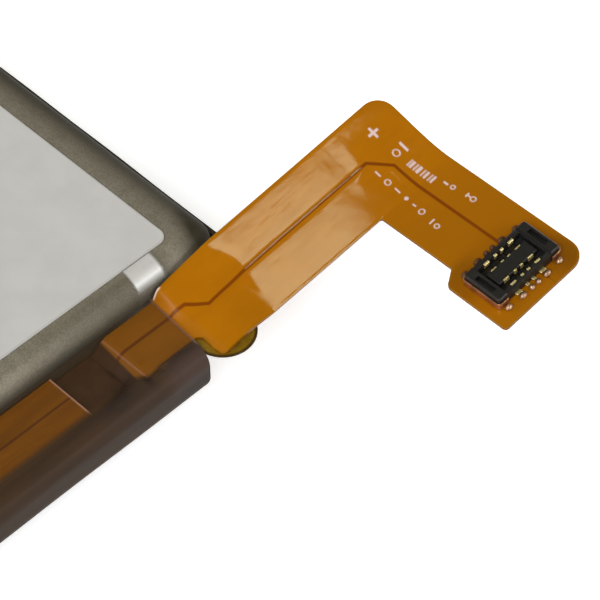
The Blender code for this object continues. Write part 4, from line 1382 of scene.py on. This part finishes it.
@dataclass
class FlexTail:
    """The bent flex: its two outlines, its rising height, and its films on either side of the copper.

    A slope entry says how much steeper the flex gets, and between which two places along y.
    """

    left: Corners = ((42.14, 20.30, 0), (42.14, 40.26, 0.9), (54.11, 40.42, 0.9), (54.11, 37.80, 0))
    right: Corners = (
        (44.76, 20.30, 0), (44.76, 23.20, 0.5), (44.93, 24.00, 0.5), (44.80, 26.86, 0.14),
        (45.12, 27.12, 0.20), (45.66, 26.96, 0.25), (46.26, 27.03, 0.24), (46.31, 28.40, 0),
        (46.31, 29.90, 0), (46.385, 36.13, 0.07), (50.35, 36.18, 0.12), (50.85, 35.40, 0.3),
        (54.11, 35.40, 0.2), (54.11, 37.80, 0),
    )
    gap: Corners = (
        (43.26, 20.30, 0), (43.26, 27.00, 0), (43.38, 27.56, 0), (44.13, 28.24, 0), (44.13, 37.48, 0),
        (44.98, 38.33, 0), (53.60, 38.45, 0),
    )
    knots: tuple[tuple[float, float, float, float], ...] = (
        (42.14, 20.30, 44.76, 20.30), (42.14, 25.90, 44.76, 26.62), (42.14, 27.60, 45.90, 27.00),
        (42.14, 28.60, 46.28, 27.60), (42.14, 30.10, 46.31, 29.90), (42.14, 35.90, 46.38, 35.90),
        (42.14, 39.36, 46.39, 35.99), (43.06, 40.27, 46.55, 36.13), (49.90, 40.36, 50.20, 36.18),
        (51.15, 40.38, 51.15, 35.40), (53.20, 40.41, 53.90, 35.40), (54.11, 39.52, 54.11, 35.60),
    )
    film: float = 0.045
    copper: float = 0.035
    copper_border: float = 0.33
    copper_ends: Range = (0.35, 53.75)
    gap_half: float = 0.07
    columns: int = 89
    step: float = 0.062
    neck_height: float = 2.64
    neck_gain: float = 0.575
    neck_climb: Range = (23.3, 24.3)
    root_step: float = 0.568
    root_climb: Range = (26.80, 27.22)
    outer_slopes: tuple[Triple, ...] = ((0.443, 26.70, 27.33), (-0.307, 29.70, 30.90))
    inner_slopes: tuple[Triple, ...] = ((0.298, 26.90, 27.30), (-0.162, 29.40, 30.40))
    leg_middle: Range = (42.2, 44.0)
    arm_height: float = 4.631
    arm_slope: float = 0.137
    arm_middle: float = 37.4
    even_start: float = 0.0956
    leg_width: float = 4.245
    elbow_x: Range = (41.13, 46.42)
    elbow_y: Range = (37.0, 39.4)
    twist: Range = (26.70, 29.98)
    gap_dip: float = 0.010
    edge_dip: float = 0.004
    lean: float = 0.0074
    lean_from: float = 0.010
    lean_y: tuple[Range, Range] = ((29.5, 31.5), (37.4, 36.6))
    lean_x: Range = (46.9, 46.0)
    bend: float = 0.0031
    bend_from: float = 34.6
    bend_y: Range = (39.0, 37.6)
    bend_x: Range = (48.6, 46.6)

    def height(self, x: np.ndarray, y: np.ndarray) -> np.ndarray:
        """The height of the flex's middle over the floor.

        Formula: the leg rises behind the pouch, steeply at its root and gently after it, the arm lies
        on a plane of its own, and the one turns into the other with x and y: evenly across the leg,
        and by a smooth climb across the elbow. Beside the pouch the root steps up out of the film at
        once; towards its outer side it rises evenly.

        Args:
            x: the places along the pack.
            y: the places across it.

        Returns:
            The heights.
        """
        neck = self.neck_height + self.neck_gain * ease(y, *self.neck_climb)
        outer = neck + sum(slope * ramp_sum(y, *ends) for slope, *ends in self.outer_slopes)
        inner = neck + sum(slope * ramp_sum(y, *ends) for slope, *ends in self.inner_slopes)
        inner = inner + self.root_step * ease(y, *self.root_climb)
        leg = inner + (outer - inner) * ease(x, *self.leg_middle)
        arm = self.arm_height + self.arm_slope * (y - self.arm_middle)
        across = (x - self.left[0][0]) / self.leg_width
        even = np.clip(self.even_start + (1 - self.even_start) * across, 0, 1)
        smooth = ease(x, *self.elbow_x)
        share = (even + (smooth - even) * ease(y, *self.elbow_y)) * ease(y, *self.twist)
        return leg + (arm - leg) * share

    def layer(self, plan: np.ndarray, low: float, high: float | np.ndarray) -> Surface:
        """One layer of the flex, a closed sheet between two offsets from its middle.

        Formula: the offsets run along the surface's upward direction, which comes from the height's
        slopes along x and y, each read a thousandth of a millimetre to both sides.

        Args:
            plan: the layer's (x, y) grid.
            low: the underside's offset.
            high: the upper side's offset.

        Returns:
            The points and the faces.
        """
        x, y = plan[..., 0], plan[..., 1]
        tiny = 1e-3
        slope_x = (self.height(x + tiny, y) - self.height(x - tiny, y)) / (2 * tiny)
        slope_y = (self.height(x, y + tiny) - self.height(x, y - tiny)) / (2 * tiny)
        upward = unit(points_at(-slope_x, -slope_y, 1.0))
        middle = points_at(x, y, self.height(x, y))
        return closed_sheet(middle + upward * np.expand_dims(high, -1), middle + upward * low)

    def plan(self) -> np.ndarray:
        """The flex's plan as a grid: rows along its length, columns from its left outline to its right.

        Formula: between two knots both outlines are walked at an even pace, and each row is the
        straight line between the two places.

        Returns:
            The grid of (x, y) points.
        """
        left, right = rounded_line(self.left), rounded_line(self.right)
        knots = np.array(self.knots)
        left_places = from_line(knots[:, :2], left)[1]
        right_places = from_line(knots[:, 2:], right)[1]
        longest = np.maximum(np.diff(left_places), np.diff(right_places))
        counts = np.maximum((longest / self.step).astype(int), 2)
        shares = np.concatenate([np.arange(count) / count + number for number, count in enumerate(counts)])
        shares = np.append(shares, len(counts))
        numbers = np.arange(len(knots))
        left_side = at_lengths(left, np.interp(shares, numbers, left_places))
        right_side = at_lengths(right, np.interp(shares, numbers, right_places))
        across = np.linspace(0, 1, self.columns)[None, :, None]
        return left_side[:, None] * (1 - across) + right_side[:, None] * across

    def marks(self, points: np.ndarray) -> np.ndarray:
        """How far points lie from the nearest plain printed mark, less than 0 inside one.

        Formula: a bar is a box, whose distance is the longer of the two overhangs; a ring is the
        distance to its circle less half its line; the least of them counts.

        Args:
            points: the points' (x, y) places.

        Returns:
            The distances.
        """
        row = [(45.32, 0.035), (45.47, 0.055), (45.66, 0.035), (45.85, 0.075),
               (46.08, 0.035), (46.26, 0.055), (46.47, 0.035), (46.64, 0.055)]
        boxes = [(x, 38.92 + 0.01 * number, half, 0.20) for number, (x, half) in enumerate(row)] + [
            (43.32, 38.74, 0.28, 0.06), (43.32, 38.74, 0.06, 0.28), (44.62, 39.28, 0.26, 0.06),
            (47.18, 39.2, 0.13, 0.05), (48.28, 39.34, 0.04, 0.12), (48.40, 39.34, 0.12, 0.03),
            (44.82, 37.50, 0.16, 0.04), (45.92, 37.56, 0.16, 0.04), (46.95, 37.52, 0.10, 0.04),
            (48.10, 37.38, 0.04, 0.16),
        ]
        rings = [
            (44.62, 38.82, 0.16, 0.065), (47.55, 39.24, 0.10, 0.06), (48.62, 39.34, 0.12, 0.06),
            (45.37, 37.53, 0.13, 0.06), (46.45, 37.56, 0.05, 0.1), (47.42, 37.48, 0.13, 0.06),
            (48.42, 37.34, 0.11, 0.06),
        ]
        found = [(np.abs(points - (x, y)) - (half_x, half_y)).max(axis=1) for x, y, half_x, half_y in boxes]
        for x, y, radius, line in rings:
            found.append(np.abs(np.linalg.norm(points - (x, y), axis=1) - radius) - line / 2)
        return np.min(found, axis=0)

    def conductors(self) -> None:
        """The two copper strips between the films, on either side of the etched gap.

        Formula: on each row of the plan, the gap's two sides lie where the distance to the gap's
        middle line passes half its width; the strips run from there to the bare border.
        """
        plan = self.plan()
        plan = plan[(lengths_along(plan[:, 0]) > self.copper_ends[0]) & (plan[:, 0, 0] < self.copper_ends[1])]
        gap = from_line(plan.reshape(-1, 2), rounded_line(self.gap))[0].reshape(plan.shape[:2])
        border = self.copper_border / np.linalg.norm(plan[:, -1] - plan[:, 0], axis=1)

        def crossing(level: float) -> np.ndarray:
            """The share across each row at which the distance to the gap passes a level.

            Args:
                level: the distance in millimetres, negative on the inner side.

            Returns:
                A share for each row, from 0 at its first point to 1 at its last.
            """
            after = np.clip((gap < level).sum(axis=1), 1, gap.shape[1] - 1)[:, None]
            low = np.take_along_axis(gap, after - 1, 1)
            high = np.take_along_axis(gap, after, 1)
            return ((after - 1 + (level - low) / (high - low)) / (gap.shape[1] - 1))[:, 0]

        spans = {"inner": (border, crossing(-self.gap_half)), "outer": (crossing(self.gap_half), 1 - border)}
        copper = Wares.COPPER.value.dress()
        for name, (start, end) in spans.items():
            across = start[:, None] + (end - start)[:, None] * np.linspace(0, 1, 17)
            flat = plan[:, :1] + (plan[:, -1:] - plan[:, :1]) * across[..., None]
            surface = self.layer(flat, -self.copper / 2, self.copper / 2)
            make_piece(f"flex_copper_{name}", surface, copper, "copper", f"flex_conductor_{name}")

    def face_lift(self, x: np.ndarray, y: np.ndarray, gap: np.ndarray, edge: np.ndarray) -> np.ndarray:
        """How far the cover film's face stands off its even height, in millimetres.

        Formula: it dips by a bell along the gap and by a climb at the edges, leans evenly away from the
        gap along the leg, and past the gap bends down towards the elbow by half the square of the way.

        Args:
            x: the places along the pack.
            y: the places across it.
            gap: the signed distances to the gap's middle line.
            edge: the distances to the outline.

        Returns:
            The lifts.
        """
        outer_half = np.clip(gap / 0.4, 0, 1)
        dip = self.gap_dip * bell(gap, 0.13) + self.edge_dip * ease(edge, 0.16, 0.02)
        starts, ends = self.lean_y
        leg = ease(y, *starts) * ease(y + 0.7 * outer_half, *ends) * ease(x, *self.lean_x)
        bend = self.bend * np.clip(y - self.bend_from, 0, 3) ** 2 * outer_half
        bend = bend * ease(y, *self.bend_y) * ease(x, *self.bend_x)
        return leg * (self.lean * np.clip(gap, 0, 3) - self.lean_from) - bend - dip

    def build(self) -> None:
        """Builds the cover film with what its material reads, the base film and the copper between them."""
        plan = self.plan()
        flat = plan.reshape(-1, 2)
        gap = from_line(flat, rounded_line(self.gap))[0]
        outline = np.concatenate([rounded_line(self.left), rounded_line(self.right)[::-1][1:]])
        edge = np.abs(from_line(flat, outline)[0])
        fields = on_both_sides(gap_distance=gap, edge_distance=edge, mark_distance=self.marks(flat))
        low = self.copper / 2 + FILM_GAP
        high = low + self.film
        cover = self.layer(plan, low, high + self.face_lift(*flat.T, gap, edge).reshape(plan.shape[:2]))
        amber = AmberLaminate().dress()
        make_piece("flex_cover_skin", cover, amber, "amber_film", "flex_cover_film", fields)
        plain = Wares.BASE_FILM.value.dress()
        make_piece("flex_base_skin", self.layer(plan, -high, -low), plain, "amber_film", "flex_base_film")
        self.conductors()


@dataclass
class Tongue:
    """The rounded end of the retaining film, which shows beyond the flex's root."""

    start: float = 42.1
    end: float = 46.64
    middle: float = 27.98
    half_width: float = 1.42
    low: float = 3.08
    thickness: float = 0.05
    edge_fall: float = 0.012

    def build(self) -> None:
        """Builds the tongue: rows across a strip whose end is a half circle, as two level grids.

        Formula: past the last straight row, x grows by the sine and the half width falls by the cosine
        of an even turn, and each row spans its width evenly.
        """
        straight = np.linspace(self.start, self.end - self.half_width, 16)[:-1]
        turn = np.linspace(0, math.pi / 2 - 0.03, 24)
        x = np.concatenate([straight, self.end - self.half_width + self.half_width * np.sin(turn)])
        half = np.concatenate([np.full(len(straight), self.half_width), self.half_width * np.cos(turn)])
        across = np.linspace(-1, 1, 31)
        y = self.middle + half[:, None] * across
        fall = self.edge_fall * ease(np.abs(across), 0.5, 1.0)
        upper = points_at(x[:, None], y, self.low + self.thickness - fall)
        outline = np.concatenate([upper[:, 0, :2], upper[-1, 1:-1, :2], upper[::-1, -1, :2]])
        rim = np.abs(from_line(upper[..., :2].reshape(-1, 2), outline)[0])
        surface = closed_sheet(upper, points_at(x[:, None], y, self.low))
        fields = on_both_sides(rim_distance=rim)
        film = TongueFilm().dress()
        make_piece("retaining_tongue_skin", surface, film, "olive_film", "retaining_film_tongue", fields)


@dataclass
class Socket:
    """The board-to-board socket on the flex's end: its moulding, contacts, holders, solder and stiffener.

    Each kind of node, by its name's start, has its piece's name, its finish, its rounding and its slot.
    """

    kinds: dict[str, tuple[str, Wares, float, str]] = field(default_factory=lambda: {
        "socket_housing": ("socket_moulding", Wares.MOULDING, 0.022, "black_moulding"),
        "socket_stiffener": ("socket_backing_sheet", Wares.STIFFENER, 0.01, "olive_resin"),
        "contact_": ("{}_spring", Wares.GOLD, 0.012, "gold_plate"),
        "socket_holder": ("{}_clip", Wares.BRONZE, 0.012, "tinned_bronze"),
        "solder_": ("{}_fillet", Wares.TIN, 0.03, "tin_solder"),
    })

    def build(self) -> None:
        """Refines each node of the socket with rounded edges and its own finish."""
        made = {start: ware.value.dress() for start, (_, ware, _, _) in self.kinds.items()}
        for node in sorted(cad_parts):
            for start, (name, _, rounding, slot) in self.kinds.items():
                if node.startswith(start):
                    refine_node(node, name.format(node), made[start], slot, rounding)


@dataclass
class BoardParts:
    """The protection board and its parts under the film, which keep the frame's own shapes."""

    finishes: dict[Wares, tuple[str, ...]] = field(default_factory=lambda: {
        Wares.RESIN_BOARD: ("protection_board",),
        Wares.COVERLAY: ("board_coverlay",),
        Wares.BROWN_TAPE: ("joint_cover_tape", "terrace_tape"),
        Wares.CHIP_EPOXY: ("control_chip", "switch_transistor_a", "switch_transistor_b", "sense_resistor"),
        Wares.CERAMIC: ("bypass_capacitor", "filter_capacitor", "temperature_sensor"),
        Wares.SEALANT: ("thermal_fuse", "negative_tab_collar", "positive_tab_collar"),
        Wares.COPPER: ("board_conductor_inner", "board_conductor_outer"),
        Wares.NICKEL: ("negative_tab", "negative_weld_plate", "positive_weld_plate"),
        Wares.ALUMINIUM: ("positive_tab",),
    })

    def build(self) -> None:
        """Gives every frame node that still shows its finish."""
        for ware, names in self.finishes.items():
            finish = ware.value.dress()
            for name in names:
                for material_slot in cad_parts[name].material_slots:
                    material_slot.material = finish
                log.info("node %s, finish %s", name, ware.value.name)


@dataclass(frozen=True)
class Lamp:
    """A soft rectangular lamp: where it stands, which way its two sides run, and how bright it looks."""

    name: str
    centre: Triple
    side: Triple
    rise: Triple
    width: float
    height: float
    brightness: float
    tint: Triple = (1.0, 1.0, 1.0)

    def build(self) -> None:
        """Makes the lamp; its power is the brightness times pi times its area."""
        light = bpy.data.lights.new(self.name, "AREA")
        light.color = self.tint
        light.shape = "RECTANGLE"
        light.size = self.width
        light.size_y = self.height
        light.energy = self.brightness * math.pi * self.width * self.height
        side = Vector(self.side).normalized()
        rise = Vector(self.rise)
        stand(linked(self.name, light), side, (rise - side * rise.dot(side)).normalized(), self.centre)


@dataclass
class Studio:
    """The plain studio: a pale floor, three soft lamps and a small tinted one, an even sky and the camera."""

    lamps: tuple[Lamp, ...] = (
        Lamp("front_softbox", (0.26, -0.46, 0.50), (0.87, 0.49, 0.0), (-0.3, 0.53, 0.55), 0.55, 0.4, 5.85),
        Lamp("side_strip", (0.52, 0.31, 0.30), (-0.5, 0.85, 0.0), (-0.35, -0.2, 0.9), 0.5, 0.16, 5.0),
        Lamp("left_fill", (-0.48, -0.40, 0.42), (0.64, -0.77, 0.0), (0.5, 0.4, 0.75), 0.5, 0.4, 2.4),
        Lamp("glare_softbox", (0.00233, 0.12990, 0.52727), (-0.0916, -0.9737, 0.2084),
             (0.9924, -0.0721, 0.0994), 0.0894, 0.0488, 11.8, (0.92, 1.0, 0.66)),
    )
    sky_stops: tuple[Range, Range] = ((0.18, 0.9), (0.5, 0.17))
    floor_half: float = 3000.0
    floor_drop: float = 0.02
    lens: float = 168.0
    sensor: float = 36.0
    eye: Triple = (0.09930, -0.02154, 0.09235)
    right: Triple = (0.706468, 0.707745, 0.000019)
    upward: Triple = (-0.542120, 0.541124, 0.642876)

    def sky(self) -> None:
        """An even sky: bright near the floor's line, plain grey above it."""
        world = bpy.data.worlds.new("studio_sky")
        bpy.context.scene.world = world
        world.use_nodes = True
        book = NodeBook(world.node_tree)
        place = book.add("ShaderNodeTexCoord").outputs["Generated"]
        height = book.add("ShaderNodeSeparateXYZ", values={0: place}).outputs["Z"]
        ramp = book.add("ShaderNodeValToRGB", {"stops": self.sky_stops}, {"Fac": height})
        background = world.node_tree.nodes["Background"]
        book.feed(background, "Color", ramp.outputs["Color"])
        book.feed(background, "Strength", 1.0)

    def floor(self) -> None:
        """A wide pale floor that looks white to the eye where no shadow falls on it."""
        book = MaterialBook("pale_floor")
        paths = book.add("ShaderNodeLightPath").outputs
        rays = [Reading(book, paths[f"Is {kind} Ray"]) for kind in ("Camera", "Glossy", "Transmission")]
        seen = rays[0].greater(rays[1]).greater(rays[2])
        book.surface(
            base_color=book.mix((0.80, 0.80, 0.80), (book.noise(40.0, 3.0, 0.5), (0.82, 0.82, 0.82))),
            roughness=0.9,
            emission_color=book.mix((0.0, 0.0, 0.0), (seen, (0.6, 0.6, 0.6))),
            emission_strength=1.0,
        )
        corners = np.array([(-1, -1, 0), (1, -1, 0), (1, 1, 0), (-1, 1, 0)]) * self.floor_half
        mesh = bpy.data.meshes.new("studio_floor")
        mesh.from_pydata(((corners - (0, 0, self.floor_drop)) * MM).tolist(), [], [(0, 1, 2, 3)])
        mesh.materials.append(book.material)
        linked("studio_floor", mesh)

    def camera(self) -> None:
        """The camera at the photograph's place, held by its eye and its right and upward directions."""
        data = bpy.data.cameras.new("studio_camera")
        data.sensor_width = self.sensor
        data.lens = self.lens
        data.clip_start = 0.005
        data.clip_end = 20.0
        camera = linked("studio_camera", data)
        stand(camera, Vector(self.right), Vector(self.upward), self.eye)
        bpy.context.scene.camera = camera

    def build(self) -> None:
        """Builds the studio."""
        bpy.context.scene.view_settings.view_transform = "Standard"
        self.sky()
        self.floor()
        self.camera()
        for lamp in self.lamps:
            lamp.build()


def main() -> None:
    logging.basicConfig(level=logging.INFO, format="%(message)s")
    for maker in (Studio, CellPouch, EndWrap, ShoulderTape, FlexTail, Tongue, Socket, BoardParts):
        maker().build()


if __name__ == "__main__":
    main()
